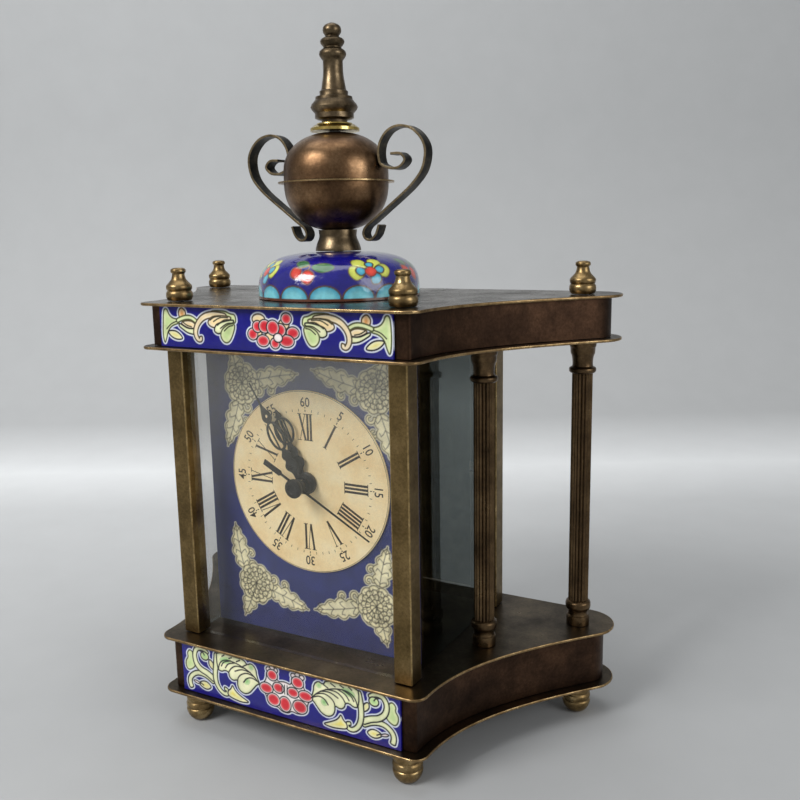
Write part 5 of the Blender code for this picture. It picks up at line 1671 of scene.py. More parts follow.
@dataclass(frozen=True)
class CasePosts:
    """Square pillars and round fluted columns between deck and ceiling."""

    edge: float = 0.0005
    shaft: float = 0.0043
    foot: float = 0.0055
    foot_height: float = 0.0113
    head: float = 0.0057
    head_height: float = 0.0138
    flutes: int = 20
    flute_depth: float = 0.0005
    flute_steps: int = 8
    turn_steps: int = 72
    foot_shares: tuple[Pair, ...] = (
        (0.91, 0), (0.91, 0.345), (0.77, 0.39), (0.77, 0.57), (0.86, 0.60), (0.98, 0.66), (1, 0.78),
        (0.98, 0.90), (0.86, 0.96),
    )
    head_shares: tuple[Pair, ...] = (
        (0.84, 0.01), (0.98, 0.05), (1, 0.11), (0.98, 0.17), (0.84, 0.20), (0.74, 0.23),
        (0.75, 0.42), (0.82, 0.56), (0.90, 0.62), (0.91, 0.80), (0.98, 0.83), (0.98, 1),
    )

    def pillar(self, node: str) -> None:
        """Make one square pillar in the place of its node."""
        low, high = (Vector(corner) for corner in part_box(node))
        deselect_all()
        bpy.ops.mesh.primitive_cube_add(size=1, location=(low + high) / 2, scale=high - low)
        shape = bpy.context.object
        shape.name = node.replace("pillar", "post")
        shape.data.name = shape.name
        put_in_mesh([shape])
        dress(shape, PILLAR, PILLAR_EDGE)
        bevelled(shape, self.edge, 3, 1)
        smoothed(shape, weighted=True)
        hand_over(shape, "case", "pillar_brass", (PILLAR, PILLAR_EDGE), node)

    def column(self, height: float) -> Shape:
        """Make one column at the origin.

        Args:
            height: Its height.

        Returns:
            The column.
        """
        head_level = height - self.head_height
        foot = [(0, 0)]
        foot += rounded([(self.foot * r, self.foot_height * z) for r, z in self.foot_shares], 1,
                        closed=False)
        foot += [(self.shaft * 0.7, self.foot_height), (0, self.foot_height)]
        head = [(0, head_level), (self.shaft * 0.7, head_level)]
        head += rounded(
            [(self.head * r, head_level + self.head_height * z) for r, z in self.head_shares], 1,
            closed=False,
        )
        head.append((0, height))
        count = self.flutes * self.flute_steps
        section = []
        for index in range(count):
            angle = math.tau * index / count
            radius = self.shaft - self.flute_depth * abs(math.sin(angle * self.flutes / 2))
            section.append((radius * math.cos(angle), radius * math.sin(angle),
                            self.foot_height * 0.9))
        shaft = raised(outline("shaft", section), (0, 0, head_level - self.foot_height * 0.8))
        ends = [turned("foot", foot, self.turn_steps), turned("head", head, self.turn_steps)]
        return smoothed(joined("column", [shaft, *ends]))

    def build(self) -> None:
        """Make four pillars and four columns."""
        for row in ("front", "rear"):
            for side in SIDES:
                self.pillar(f"{row}_{side}_pillar")
        low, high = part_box("mid_right_column")
        pattern = self.column(high[2] - low[2])
        set_out(pattern, ("mid", "rear"), "column", "fluted", "column_bronze", COLUMN)


@dataclass(frozen=True)
class TurnedOrnaments:
    """Four feet and four finials, turned from brass."""

    steps: int = 64
    foot_shares: tuple[Pair, ...] = (
        (0, 0), (0.45, 0), (0.68, 0.05), (0.86, 0.14), (0.96, 0.24), (1.0, 0.32), (0.99, 0.37),
        (0.91, 0.405), (0.98, 0.44), (1.0, 0.50), (0.98, 0.56), (0.88, 0.605), (0.95, 0.64),
        (0.97, 0.70), (0.94, 0.77), (0.82, 0.82), (0.80, 0.86), (0.80, 1), (0, 1),
    )
    finial_shares: tuple[Pair, ...] = (
        (0, 0), (0.88, 0), (0.95, 0.05), (1, 0.11), (1, 0.22), (0.95, 0.27), (0.88, 0.295),
        (0.95, 0.34), (0.975, 0.40), (0.96, 0.46), (0.75, 0.548), (0.57, 0.63), (0.50, 0.712),
        (0.46, 0.80), (0.47, 0.83), (0.56, 0.86), (0.57, 0.91), (0.54, 0.96), (0.40, 0.99),
        (0.2, 1.0), (0, 1),
    )

    def build(self) -> None:
        """Make feet and finials, each kind turned once and copied."""
        for kind, shares in (("foot", self.foot_shares), ("finial", self.finial_shares)):
            low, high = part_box(f"front_right_{kind}")
            radius, height = (high[0] - low[0]) / 2, high[2] - low[2]
            profile = [(radius * r, height * z) for r, z in shares]
            profile = [profile[0], *rounded(profile[1:-1], 1, closed=False), profile[-1]]
            pattern = smoothed(turned(kind, profile, self.steps))
            set_out(pattern, ("front", "rear"), kind, "turned", "turned_brass", TURNED)


@dataclass(frozen=True)
class Dial:
    """The painted panel, the round dial on it, and the dial's print."""

    centre_z: float = 0.1123
    square: float = 0.00034
    window: float = 0.0037
    bore: float = 0.0035
    print_height: float = 0.00005
    numeral_radius: float = 0.0236
    numeral_height: float = 0.0113
    digit_radius: float = 0.0342
    digit_height: float = 0.0039
    track: Pair = (0.0301, 0.0312)
    rim_line: float = 0.0385
    line_width: float = 0.00018
    tick_half: float = 0.00011
    fifth_stretch: Triple = (1.8, 0.8, 1)
    dot_radius: float = 0.0003
    dot_gap: float = 0.0006
    digit_share: float = 0.70
    digit_boldness: float = 0.012
    digit_stretch: Triple = (0.86, 1, 1)
    round_steps: int = 160
    facing: Triple = (math.pi / 2, 0, 0)
    numerals: tuple[str, ...] = (
        "XII", "I", "II", "III", "IIII", "V", "VI", "VII", "VIII", "IX", "X", "XI",
    )

    def panel(self) -> None:
        """The enamel panel with its corner sprays."""
        low, high = (Vector(corner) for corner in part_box("dial_panel"))
        slab = painted_slab(
            "corner_spray_panel", low, high, self.square, Ornament.PANEL_GROUND,
            Ornament.dial_panel,
            (0, self.centre_z), self.window,
        )
        dress(slab, PANEL_ENAMEL, WALL)
        front = low.y + 0.0001
        for face in slab.data.polygons:
            if face.center.y > front:
                face.material_index = 1
        hand_over(slab, "case", "slate_enamel", (PANEL_ENAMEL, WALL), "dial_panel")

    def disc(self) -> None:
        """The cream disc."""
        low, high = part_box("dial_disc")
        radius, thickness = (high[0] - low[0]) / 2, high[1] - low[1]
        profile = rectangle(self.bore, radius, 0, thickness)
        shape = bevelled(turned("cream_dial", profile, self.round_steps, closed=True), 0.0001, 1)
        smoothed(shape, weighted=True)
        settle(shape, (0, high[1], self.centre_z), self.facing)
        hand_over(shape, "case", "cream_enamel", (CREAM,), "dial_disc")

    def bar(self, name: str, corners: Sequence[Pair]) -> Shape:
        """A flat printed bar, in the dial's own plane."""
        return raised(outline(name, [(x, y, 0) for x, y in corners]), (0, 0, self.print_height))

    def letter(self, kind: str) -> Shape:
        """One Roman letter, standing on the origin.

        Args:
            kind: The letter I, V or X.

        Returns:
            The letter.
        """
        high, wide = self.numeral_height, self.numeral_height * 0.13
        thick, thin, serif = high * 0.086, high * 0.026, high * 0.026
        levels = ((0, serif), (high - serif, high))
        if kind == "I":
            bars = [rectangle(-thick / 2, thick / 2, 0, high)]
            bars += [rectangle(-thick, thick, *level) for level in levels]
        elif kind == "V":
            bars = [
                [(-wide - thick / 2, high), (-thick / 2, 0), (thick / 2, 0),
                 (thick / 2 - wide, high)],
                [(wide - thin, high), (0, 0), (thin, 0), (wide, high)],
                rectangle(-wide - thick, thick - wide, *levels[1]),
                rectangle(wide - thick, wide + thick / 2, *levels[1]),
            ]
        else:
            bars = [
                [(-wide - thick / 2, high), (wide - thick / 2, 0), (wide + thick / 2, 0),
                 (thick / 2 - wide, high)],
                [(wide - thin, high), (-wide, 0), (thin - wide, 0), (wide, high)],
            ]
            bars += [
                rectangle(side - thick, side + thick, *level)
                for side in (-wide, wide) for level in levels
            ]
        shapes = [self.bar("stroke", corners) for corners in bars]
        for index, shape in enumerate(shapes):
            shape.location.z = index * self.print_height * 0.02
        return joined("letter_" + kind, shapes)

    def spot(self, angle: float, radius: float, shift: float = 0.0) -> tuple[Triple, Triple]:
        """Place and turn of a mark that reads outwards from the centre.

        Args:
            angle: Clockwise angle from twelve.
            radius: Distance of the mark's foot from the centre.
            shift: How far it is moved clockwise along its own line.

        Returns:
            Its place and its turn, in the dial's own plane.
        """
        across, up = math.sin(angle), math.cos(angle)
        place = (radius * across + shift * up, radius * up - shift * across, 0)
        return place, (0, 0, -angle)

    def roman_ring(self) -> Shape:
        """Twelve Roman numerals that stand outwards."""
        letters = {kind: self.letter(kind) for kind in "IVX"}
        widths = {
            kind: self.numeral_height * share for kind,
            share in (("I", 0.138), ("V", 0.31), ("X", 0.31))
        }
        marks = []
        for hour, numeral in enumerate(self.numerals):
            angle = math.tau * hour / len(self.numerals)
            pen = -sum(widths[kind] for kind in numeral) / 2
            for kind in numeral:
                foot = self.numeral_radius - self.numeral_height / 2
                place, turn = self.spot(angle, foot, pen + widths[kind] / 2)
                marks.append(twin(letters[kind], "numeral", place, turn))
                pen += widths[kind]
        ring = joined("roman_numerals", marks)
        for letter in letters.values():
            bpy.data.objects.remove(letter, do_unlink=True)
        return ring

    def minute_ring(self) -> Shape:
        """Sixty minute strokes, a dot at every fifth, and a thin line at the rim."""
        inner, outer = self.track
        half = self.tick_half
        tick = self.bar("tick", rectangle(-half, half, 0, outer - inner))
        turns = np.linspace(0, math.tau, 11)[:-1]
        corners = [(self.dot_radius * math.cos(a), self.dot_radius * math.sin(a)) for a in turns]
        dot = self.bar("dot", corners)
        marks = []
        for minute in range(60):
            angle = math.tau * minute / 60
            marks.append(twin(tick, "minute", *self.spot(angle, inner)))
            if minute % 5 == 0:
                marks[-1].scale = self.fifth_stretch
                marks.append(twin(dot, "minute", *self.spot(angle, outer + self.dot_gap)))
        loop = rectangle(self.rim_line, self.rim_line + self.line_width, 0, self.print_height)
        line = turned("rim_line", loop, self.round_steps, closed=True)
        ring = joined("minute_track", [*marks, line])
        for shape in (tick, dot):
            bpy.data.objects.remove(shape, do_unlink=True)
        return ring

    def digit_ring(self) -> Shape:
        """The minutes from 5 to 60 in figures that stand outwards."""
        marks = []
        for index in range(1, 13):
            deselect_all()
            bpy.ops.object.text_add()
            text = bpy.context.object
            text.data.body = str(index * 5)
            text.data.size = self.digit_height / self.digit_share
            text.data.align_x = "CENTER"
            text.data.offset = self.digit_height * self.digit_boldness
            text.data.extrude = self.print_height / 2
            text.data.resolution_u = 4
            bpy.ops.object.convert(target="MESH")
            figure = bpy.context.object
            place, turn = self.spot(math.tau * index / 12,
                                    self.digit_radius - self.digit_height / 2)
            figure.location = (place[0], place[1], self.print_height / 2)
            figure.rotation_euler = turn
            figure.scale = self.digit_stretch
            marks.append(figure)
        return joined("minute_figures", marks)

    def build(self) -> None:
        """Make the panel, the disc and the three rings of print."""
        self.panel()
        self.disc()
        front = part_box("dial_disc")[0][1]
        for ring in (self.roman_ring(), self.minute_ring(), self.digit_ring()):
            settle(ring, (0, front - 0.00001, self.centre_z), self.facing)
            hand_over(ring, "case", "black_steel", (INK,))


@dataclass(frozen=True)
class HandShape:
    """Sizes of one pierced hand, in millimetres from its axis."""

    node: str
    body: str
    angle: float
    hub: float
    neck: tuple[Pair, ...]
    ring_middle: float
    ring_length: float
    ring_width: float
    bars: tuple[float, ...]
    head: tuple[Pair, ...]
    eye: float = 0.0
    hub_back: float = 0.0
    eye_place: float = 32.2


@dataclass(frozen=True)
class Hands:
    """The hour, minute and seconds hands."""

    centre_z: float = 0.1123
    facing: Triple = (math.pi / 2, 0, 0)
    rim: float = 0.9
    hour: HandShape = HandShape(
        "hour_hand", "hours", math.radians(336), 4.7,
        ((1.4, 3.5), (1.4, 6.2), (3.7, 7.8), (3.9, 10.4), (1.7, 12.0), (2.8, 13.4), (2.8, 15.0),
         (1.4, 16.4), (1.0, 18.4)),
        23.6, 6.0, 4.9, (-1.7, 0.0, 1.7),
        ((1.0, 28.8), (1.7, 29.8), (1.2, 31.0), (0.2, 33.0)), hub_back=1.1,
    )
    minute: HandShape = HandShape(
        "minute_hand", "minutes", math.radians(329), 3.8,
        ((1.2, 3.5), (1.2, 6.4), (3.1, 8.2), (3.2, 10.2), (1.4, 11.8), (2.4, 13.2), (2.4, 14.6),
         (1.1, 15.9), (0.8, 17.4)),
        23.0, 6.6, 4.1, (-1.3, 1.3),
        ((0.9, 29.0), (2.3, 30.6), (2.6, 31.8), (1.9, 33.8), (0.6, 36.7), (0.35, 38.5),
         (0.22, 48.0)), 0.7,
    )

    bar_half: float = 0.32
    axle: float = 0.0024
    edge: float = 0.00012
    sweep_angle: float = math.radians(119)
    sweep_thickness: float = 0.0006
    blade: tuple[Pair, ...] = ((0.45, 0), (0.22, 38.3))
    tail: tuple[Pair, ...] = (
        (0.5, 0), (0.5, -9.2), (1.2, -9.8), (1.3, -18.7), (-1.1, -18.9), (-1.2, -9.8), (-0.5, -9.2),
        (-0.5, 0),
    )
    boss: tuple[Pair, ...] = (
        (0, -0.3), (3.3, -0.3), (3.3, 0.6), (2.6, 1.0), (2.6, 1.8), (3.8, 2.1), (4.0, 2.6),
        (4.0, 3.4), (3.6, 3.9), (2.2, 4.1), (1.9, 3.9), (0, 3.9),
    )

    @staticmethod
    def both_halves(half: Sequence[Pair]) -> list[Pair]:
        """A half outline, and its image on the other side of the axis."""
        return [*half, *((-x, y) for x, y in reversed(half))]

    def flat(self, name: str, corners: Sequence[Pair], thickness: float) -> Shape:
        """A flat blank of a hand, from corners in millimetres.

        Args:
            name: Name of the blank.
            corners: Its outline.
            thickness: Its thickness in metres.

        Returns:
            The blank, centred on its own plane.
        """
        shape = outline(name, [(x * MM, y * MM, -thickness / 2) for x, y in corners])
        return raised(shape, (0, 0, thickness))

    def eyelet(self, middle: float, half_width: float, half_length: float,
               thickness: float) -> Shape:
        """The pierced oval of a hand, cut by insetting a full oval.

        Args:
            middle: Its distance from the axis, in millimetres.
            half_width: Half its width.
            half_length: Half its length.
            thickness: Its thickness in metres.

        Returns:
            The oval ring.
        """
        corners = []
        for step in range(64):
            angle = math.tau * step / 64
            corners.append((half_width * math.cos(angle) * MM,
                            (middle + half_length * math.sin(angle)) * MM))
        shape = outline("eyelet", [(x, y, -thickness / 2) for x, y in corners])
        with editing(shape):
            bpy.ops.mesh.inset(thickness=self.rim * MM)
            bpy.ops.mesh.delete(type="FACE")
        return raised(shape, (0, 0, thickness))

    def pierced(self, spec: HandShape) -> None:
        """Make the hour or the minute hand.

        Args:
            spec: Its sizes.
        """
        low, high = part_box(spec.node)
        thickness = high[1] - low[1]
        neck, head = (self.both_halves(rounded(half, 2, closed=False)) for half in (spec.neck,
                                                                                    spec.head))
        parts = [
            self.flat("neck", neck, thickness * 0.96),
            self.flat("head", head, thickness * 0.92),
            self.eyelet(spec.ring_middle, spec.ring_width, spec.ring_length, thickness),
        ]
        if spec.eye:
            drilled(parts[1], spec.eye * MM, (0, spec.eye_place * MM, 0))
        for across in spec.bars:
            arch = spec.ring_length * math.sqrt(1 - (across / spec.ring_width) ** 2)
            reach = arch - self.rim * 0.4
            bar = rectangle(
                across - self.bar_half, across + self.bar_half,
                spec.ring_middle - reach, spec.ring_middle + reach,
            )
            parts.append(self.flat("bar", bar, thickness * 0.8))
        half = thickness / 2
        back = -half - spec.hub_back * MM
        hub = [
            (self.axle, back), (spec.hub * MM, back), (spec.hub * MM, half * 0.5),
            (spec.hub * 0.9 * MM, half * 1.5), (self.axle, half * 1.5),
        ]
        parts.append(turned("hub", hub, 64, closed=True))
        hand = joined(spec.node.replace("_", "_pierced_"), parts)
        bevelled(hand, self.edge, 2)
        smoothed(hand)
        settle(hand, turn=(0, 0, -spec.angle))
        settle(hand, (0, (low[1] + high[1]) / 2, self.centre_z), self.facing)
        hand_over(hand, spec.body, "black_steel", (BLACK,), spec.node)

    def sweep(self) -> None:
        """Make the long seconds hand with its round boss and its counterweight."""
        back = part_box("seconds_hand")[1][1]
        thickness = self.sweep_thickness
        boss = turned("boss", [(across * MM, up * MM) for across, up in self.boss], 64)
        blade = self.flat("blade", self.both_halves(self.blade), thickness)
        tail = self.flat("tail", self.tail, thickness * 0.9)
        hand = joined("sweep_seconds_hand", [blade, tail, boss])
        bevelled(hand, 0.0001, 2)
        smoothed(hand)
        settle(hand, turn=(0, 0, -self.sweep_angle))
        settle(hand, (0, back - thickness, self.centre_z), self.facing)
        hand_over(hand, "seconds", "black_steel", (BLACK,), "seconds_hand")

    def build(self) -> None:
        """Make the three hands."""
        self.pierced(self.hour)
        self.pierced(self.minute)
        self.sweep()


@dataclass(frozen=True)
class EnamelDome:
    """The domed enamel foot of the urn."""

    wall: float = 0.0012
    fullness: float = 3.3
    hole: float = 0.0024
    rings: int = 110
    steps: int = 640

    def build(self) -> None:
        """Turn the shell and paint it."""
        low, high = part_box("enamel_dome")
        radius, height = (high[0] - low[0]) / 2, high[2] - low[2]
        outer = evenly(superellipse(radius, height, self.fullness, 400, self.hole), self.rings)
        inner = superellipse(radius - self.wall, height - self.wall, self.fullness, 10, self.hole)
        profile = [(across, low[2] + up) for across, up in outer + inner[::-1]]
        shape = smoothed(turned("painted_dome", profile, self.steps, closed=True))
        x, y, z = points_of(shape).T
        path = np.asarray(outer)
        away = np.hypot(x, y)
        rise = (z - low[2]) / height - away / radius
        climb = np.interp(rise, path[:, 1] / height - path[:, 0] / radius, run_along(path))
        colour = np.tile(np.asarray(Ornament.GROUND), (len(x), 1))
        Ornament.dome(np.arctan2(x, -y), away / MM, climb / MM, colour)
        save_colour(shape, colour)
        hand_over(shape, "case", "cobalt_enamel", (DOME_ENAMEL,), "enamel_dome")


@dataclass(frozen=True)
class Urn:
    """Foot, bowls, washer and spire of the urn, and its two strap handles."""

    steps: int = 96
    hole: float = 0.0024
    wall: float = 0.0009
    radius: float = 0.0219
    flange: float = 0.0243
    foot_height: float = 0.0079
    fullness: float = 2.25
    band_height: float = 0.0031
    standoff: float = 0.0213
    strap_width: float = 0.006
    strap_thickness: float = 0.001
    foot_shares: tuple[Pair, ...] = (
        (1, 0), (0.985, 0.14), (0.94, 0.33), (0.89, 0.49), (0.835, 0.64), (0.81, 0.80),
    )
    rim_share: float = 0.84
    spire_shares: tuple[Pair, ...] = (
        (0.54, 0), (0.54, 0.026), (0.72, 0.033), (0.82, 0.0445), (0.82, 0.095), (0.88, 0.110),
        (0.95, 0.130), (1, 0.157), (0.95, 0.1855), (0.86, 0.2105), (0.83, 0.2205), (0.79, 0.2305),
        (0.775, 0.2605), (0.62, 0.2675), (0.60, 0.2805), (0.60, 0.3155), (0.54, 0.3255),
        (0.52, 0.3405), (0.48, 0.400), (0.44, 0.4595), (0.42, 0.509), (0.415, 0.618), (0.43, 0.628),
        (0.50, 0.6475), (0.55, 0.667), (0.57, 0.687), (0.545, 0.7115), (0.46, 0.731),
        (0.375, 0.746), (0.375, 0.756), (0.43, 0.7705), (0.49, 0.790), (0.51, 0.8095),
        (0.48, 0.829), (0.40, 0.8435), (0.30, 0.8535), (0.28, 0.865), (0.32, 0.878),
        (0.375, 0.8975), (0.39, 0.922), (0.365, 0.951), (0.30, 0.9705), (0.19, 0.985),
        (0.08, 0.995), (0, 1),
    )
    handle_shares: tuple[Triple, ...] = (
        (1, 0.268, 0.528), (1, 0.465, 0.522), (1, 0.568, 0.395), (1, 0.446, 0.258),
        (1, 0.258, 0.243), (1, 0.07, 0.321), (1, 0.018, 0.443), (1, 0.01, 0.611), (1, 0.066, 0.807),
        (1, 0.22, 0.991), (1, 0.455, 1.065), (1, 0.723, 0.991), (1, 0.93, 0.775), (1, 1, 0.517),
        (1, 0.925, 0.184), (1, 0.709, -0.098), (0.93, 0.484, -0.356), (0.83, 0.294, -0.589),
        (0.72, 0.15, -0.796), (0.6276, 0.075, -0.93), (0.58, 0.067, -1.065), (0.58, 0.124, -1.177),
        (0.58, 0.24, -1.188), (0.58, 0.35, -1.075), (0.58, 0.415, -0.889),
    )

    flange_thickness: float = 0.0006
    lip: float = 0.0004
    bowl_steps: int = 28
    dish_steps: int = 8
    socket: float = 0.012
    washer_shares: tuple[Pair, ...] = (
        (1, 0), (1, 0.38), (0.96, 0.46), (0.82, 0.80), (0.74, 0.84), (0.72, 1),
    )
    strap_drop: float = 0.0009
    strap_edge: float = 0.00012

    def finish(self, shape: Shape, slot: str, metals: Sequence[AgedMetal], node: str) -> None:
        """Shade a turned piece and hand it over."""
        smoothed(shape)
        hand_over(shape, "case", slot, metals, node)

    def shell(self, depth: float) -> tuple[list[Pair], list[Pair]]:
        """Outer and inner outline of a bowl, from its rim to its pole.

        Args:
            depth: How deep it is outside.

        Returns:
            Both outlines, as radius and distance from the rim.
        """
        return (
            superellipse(self.radius, depth, self.fullness, self.bowl_steps, self.hole),
            superellipse(
                self.radius - self.wall, depth - self.wall, self.fullness, self.bowl_steps // 2,
                self.hole,
            ),
        )

    def foot(self) -> None:
        """The waisted foot."""
        low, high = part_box("urn_foot")
        radius = (high[0] - low[0]) / 2
        rim = high[2] - low[2] - self.foot_height
        profile = [(radius * r, low[2] + self.foot_height * z) for r, z in self.foot_shares]
        top = []
        for step in range(self.dish_steps + 1):
            share = 1 - step / self.dish_steps
            level = high[2] - rim * (1 - share ** self.fullness)
            top.append((max(radius * self.rim_share * share, self.hole), level))
        profile = [(self.hole, low[2]), *profile, *top]
        shape = bevelled(turned("waisted_foot", profile, self.steps, closed=True), 0.0002)
        self.finish(shape, "urn_bronze", (SPIRE,), "urn_foot")

    def bowls(self) -> None:
        """The lower bowl with its flange, and the upper bowl with its band."""
        low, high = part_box("urn_lower_bowl")
        flange_low = high[2] - self.flange_thickness
        outer, inner = self.shell(flange_low - low[2])
        profile = [(r, flange_low - z) for r, z in reversed(outer)]
        profile += [(self.flange, flange_low), (self.flange, high[2]),
                    (self.radius - self.wall, high[2])]
        profile += [(r, flange_low - z) for r, z in inner]
        shape = turned("flanged_bowl", profile, self.steps, closed=True)
        dress(shape, URN, URN_EDGE)
        for face in shape.data.polygons:
            if face.center.xy.length > self.radius + self.lip:
                face.material_index = 1
        self.finish(shape, "urn_bronze", (URN, URN_EDGE), "urn_lower_bowl")

        low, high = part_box("urn_upper_bowl")
        outer, inner = self.shell(high[2] - low[2] - self.band_height)
        level = low[2] + self.band_height
        profile = [(self.radius, low[2])] + [(r, level + z) for r, z in outer]
        profile += [(r, level + z) for r, z in reversed(inner)] + [(self.radius - self.wall,
                                                                    low[2])]
        shape = turned("upper_dome_bowl", profile, self.steps, closed=True)
        self.finish(shape, "urn_bronze", (URN,), "urn_upper_bowl")

    def top(self) -> None:
        """The bright washer and the spire."""
        low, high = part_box("urn_washer")
        radius = (high[0] - low[0]) / 2
        height = high[2] - low[2]
        profile = [(self.hole, low[2])]
        profile += [(radius * r, low[2] + height * z) for r, z in self.washer_shares]
        profile.append((self.hole, high[2]))
        shape = turned("bright_washer", profile, self.steps, closed=True)
        self.finish(shape, "polished_brass", (BRIGHT_BRASS,), "urn_washer")

        low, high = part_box("urn_spire")
        radius, height = (high[0] - low[0]) / 2, high[2] - low[2]
        grip = low[2] + self.socket
        profile = [(0, grip), (self.hole, grip), (self.hole, low[2])]
        profile += [(radius * r, low[2] + height * z) for r, z in self.spire_shares]
        self.finish(turned("beaded_spire", profile, self.steps), "turned_brass", (SPIRE,),
                    "urn_spire")

    def strap(self) -> Shape:
        """One scrolled strap, for the right side."""
        low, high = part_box("urn_upper_bowl")
        flange_level = low[2] - self.strap_drop
        upper = high[2] - low[2]
        lower = flange_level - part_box("urn_lower_bowl")[0][2]
        path = []
        for radius_share, standoff_share, height_share in self.handle_shares:
            reach = upper if height_share > 0 else lower
            path.append((
                self.radius * radius_share + self.standoff * standoff_share,
                flange_level + reach * height_share,
            ))
        loop = ribbon(self.through(path, 6), self.strap_thickness, self.strap_thickness)
        corners = [(across, -self.strap_width / 2, up) for across, up in loop]
        shape = raised(outline("strap", corners), (0, self.strap_width, 0))
        dress(shape, STRAP, STRAP_EDGE)
        for face in shape.data.polygons:
            if abs(face.normal.y) > 0.9:
                face.material_index = 1
        bevelled(shape, self.strap_edge, 2, 1)
        return smoothed(shape, weighted=True)

    @staticmethod
    def through(points: Sequence[Pair], steps: int) -> list[Pair]:
        """A smooth path through all points.

        Args:
            points: The points.
            steps: Points between two of them.

        Returns:
            The smooth path.
        """
        path = [Vector(point) for point in points]
        path = [path[0] * 2 - path[1], *path, path[-1] * 2 - path[-2]]
        smooth = []
        for before, start, end, after in zip(path, path[1:], path[2:], path[3:]):
            for step in range(steps):
                out, into = start + (end - before) / 6, end - (after - start) / 6
                smooth.append(tuple(curve_point(start, out, into, end, step / steps)))
        return [*smooth, tuple(path[-2])]

    def handles(self) -> None:
        """Two straps, the left one turned half round."""
        pattern = self.strap()
        for side, turn in (("right", 0.0), ("left", math.pi)):
            shape = twin(pattern, f"{side}_strap_handle", turn=(0, 0, turn))
            put_in_mesh([shape])
            hand_over(shape, "case", "handle_bronze", (STRAP, STRAP_EDGE), f"urn_{side}_handle")
        bpy.data.objects.remove(pattern, do_unlink=True)

    def build(self) -> None:
        """Make the urn."""
        self.foot()
        self.bowls()
        self.top()
        self.handles()
        clothe("urn_tie_bolt", STEEL)


@dataclass(frozen=True)
class RearDoor:
    """The rear door's frame, panel and latch."""

    stile: float = 0.006
    edge: float = 0.0003
    pin: float = 0.001
    pin_length: float = 0.0025
    pin_root: float = 0.001
    pin_inset: float = 0.0016
    latch_hole: float = 0.0016
    plate: float = 0.0012
    latch_place: Triple = (0.0454, 0.04245, 0.105)

    def frame(self) -> None:
        """A flat frame with two pivot pins."""
        low, high = (Vector(corner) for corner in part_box("door_frame"))
        bottom, top = low.z + self.plate + PIECE_GAP, high.z - self.plate - PIECE_GAP
        corners = [(low.x, low.y, bottom), (high.x, low.y, bottom), (high.x, low.y, top),
                   (low.x, low.y, top)]
        shape = outline("door_surround", corners)
        with editing(shape):
            bpy.ops.mesh.inset(thickness=self.stile)
            bpy.ops.mesh.delete(type="FACE")
        raised(shape, (0, high.y - low.y, 0))
        drilled(shape, self.latch_hole, self.latch_place, (math.pi / 2, 0, 0))
        bevelled(shape, self.edge, 2)
        pins = []
        for level in (low.z, top - self.pin_root):
            pin = turned("pin", rectangle(0, self.pin, level, level + self.pin_length), 24)
            pin.location = (low.x + self.pin_inset, (low.y + high.y) / 2, 0)
            pins.append(pin)
        shape = smoothed(joined("door_surround", [shape, *pins]), weighted=True)
        hand_over(shape, "rear_door", "pillar_brass", (PILLAR,), "door_frame")

    def build(self) -> None:
        """Make the frame and dress the panel and the latch."""
        self.frame()
        clothe("door_latch", TURNED)
        clothe("door_panel", DOOR_BRASS)


@dataclass(frozen=True)
class Movement:
    """The brass movement and the glass in front of and beside it."""

    brass: tuple[str, ...] = (
        "movement_front_plate", "movement_back_plate", "hour_wheel", "minute_wheel", "fourth_wheel",
        "third_wheel", "centre_wheel", "great_wheel", "escape_wheel", "balance_wheel",
    )
    steel: tuple[str, ...] = (
        "mainspring", "cannon_pinion", "pallet_lever", "hairspring", "winding_arbor", "winding_key",
    )

    def build(self) -> None:
        """Dress the nodes that stay as they are."""
        for node in self.brass:
            clothe(node, MOVEMENT_BRASS)
        for node in self.steel:
            clothe(node, STEEL)
        clothe("front_glass", FRONT_PANE)
        for side in SIDES:
            clothe(side + "_glass", SIDE_PANE)


# --------------------------------------------------------------------- studio


@dataclass(frozen=True)
class Viewpoint:
    """Where the clock is seen from."""

    place: Triple = (0.20987, -0.33144, 0.21564)
    turn: float = math.radians(28.69)
    dip: float = math.radians(10.69)
    roll: float = math.radians(-1.04)
    lens: float = 40.89

    def build(self) -> None:
        """Add the camera."""
        look = Vector((
            -math.sin(self.turn) * math.cos(self.dip), math.cos(self.turn) * math.cos(self.dip),
            -math.sin(self.dip),
        ))
        right = Vector((math.cos(self.turn), math.sin(self.turn), 0))
        up = right.cross(look)
        side = right * math.cos(self.roll) + up * math.sin(self.roll)
        top = up * math.cos(self.roll) - right * math.sin(self.roll)
        deselect_all()
        bpy.ops.object.camera_add()
        camera = bpy.context.object
        matrix = Matrix((side, top, -look)).transposed().to_4x4()
        matrix.translation = self.place
        camera.matrix_world = matrix
        camera.data.sensor_fit = "HORIZONTAL"
        camera.data.sensor_width = 36
        camera.data.lens = self.lens
        camera.data.clip_start = 0.01
        bpy.context.scene.camera = camera


@dataclass(frozen=True)
class Lamp:
    """One soft square lamp, placed along the view: x right, y away, z up."""

    name: str
    place: Triple
    aim: Triple
    width: float
    watts: float
    colour: Triple = (1, 1, 1)

    def build(self, turn: float) -> None:
        """Add the lamp.

        Args:
            turn: Angle of the view about Z.
        """
        spin = Matrix.Rotation(turn, 3, "Z")
        place, aim = spin @ Vector(self.place), spin @ Vector(self.aim)
        deselect_all()
        bpy.ops.object.light_add(type="AREA", location=place)
        lamp = bpy.context.object
        lamp.name = self.name
        lamp.rotation_euler = (aim - place).to_track_quat("-Z", "Y").to_euler()
        lamp.data.shape = "SQUARE"
        lamp.data.size = self.width
        lamp.data.energy = self.watts
        lamp.data.color = self.colour


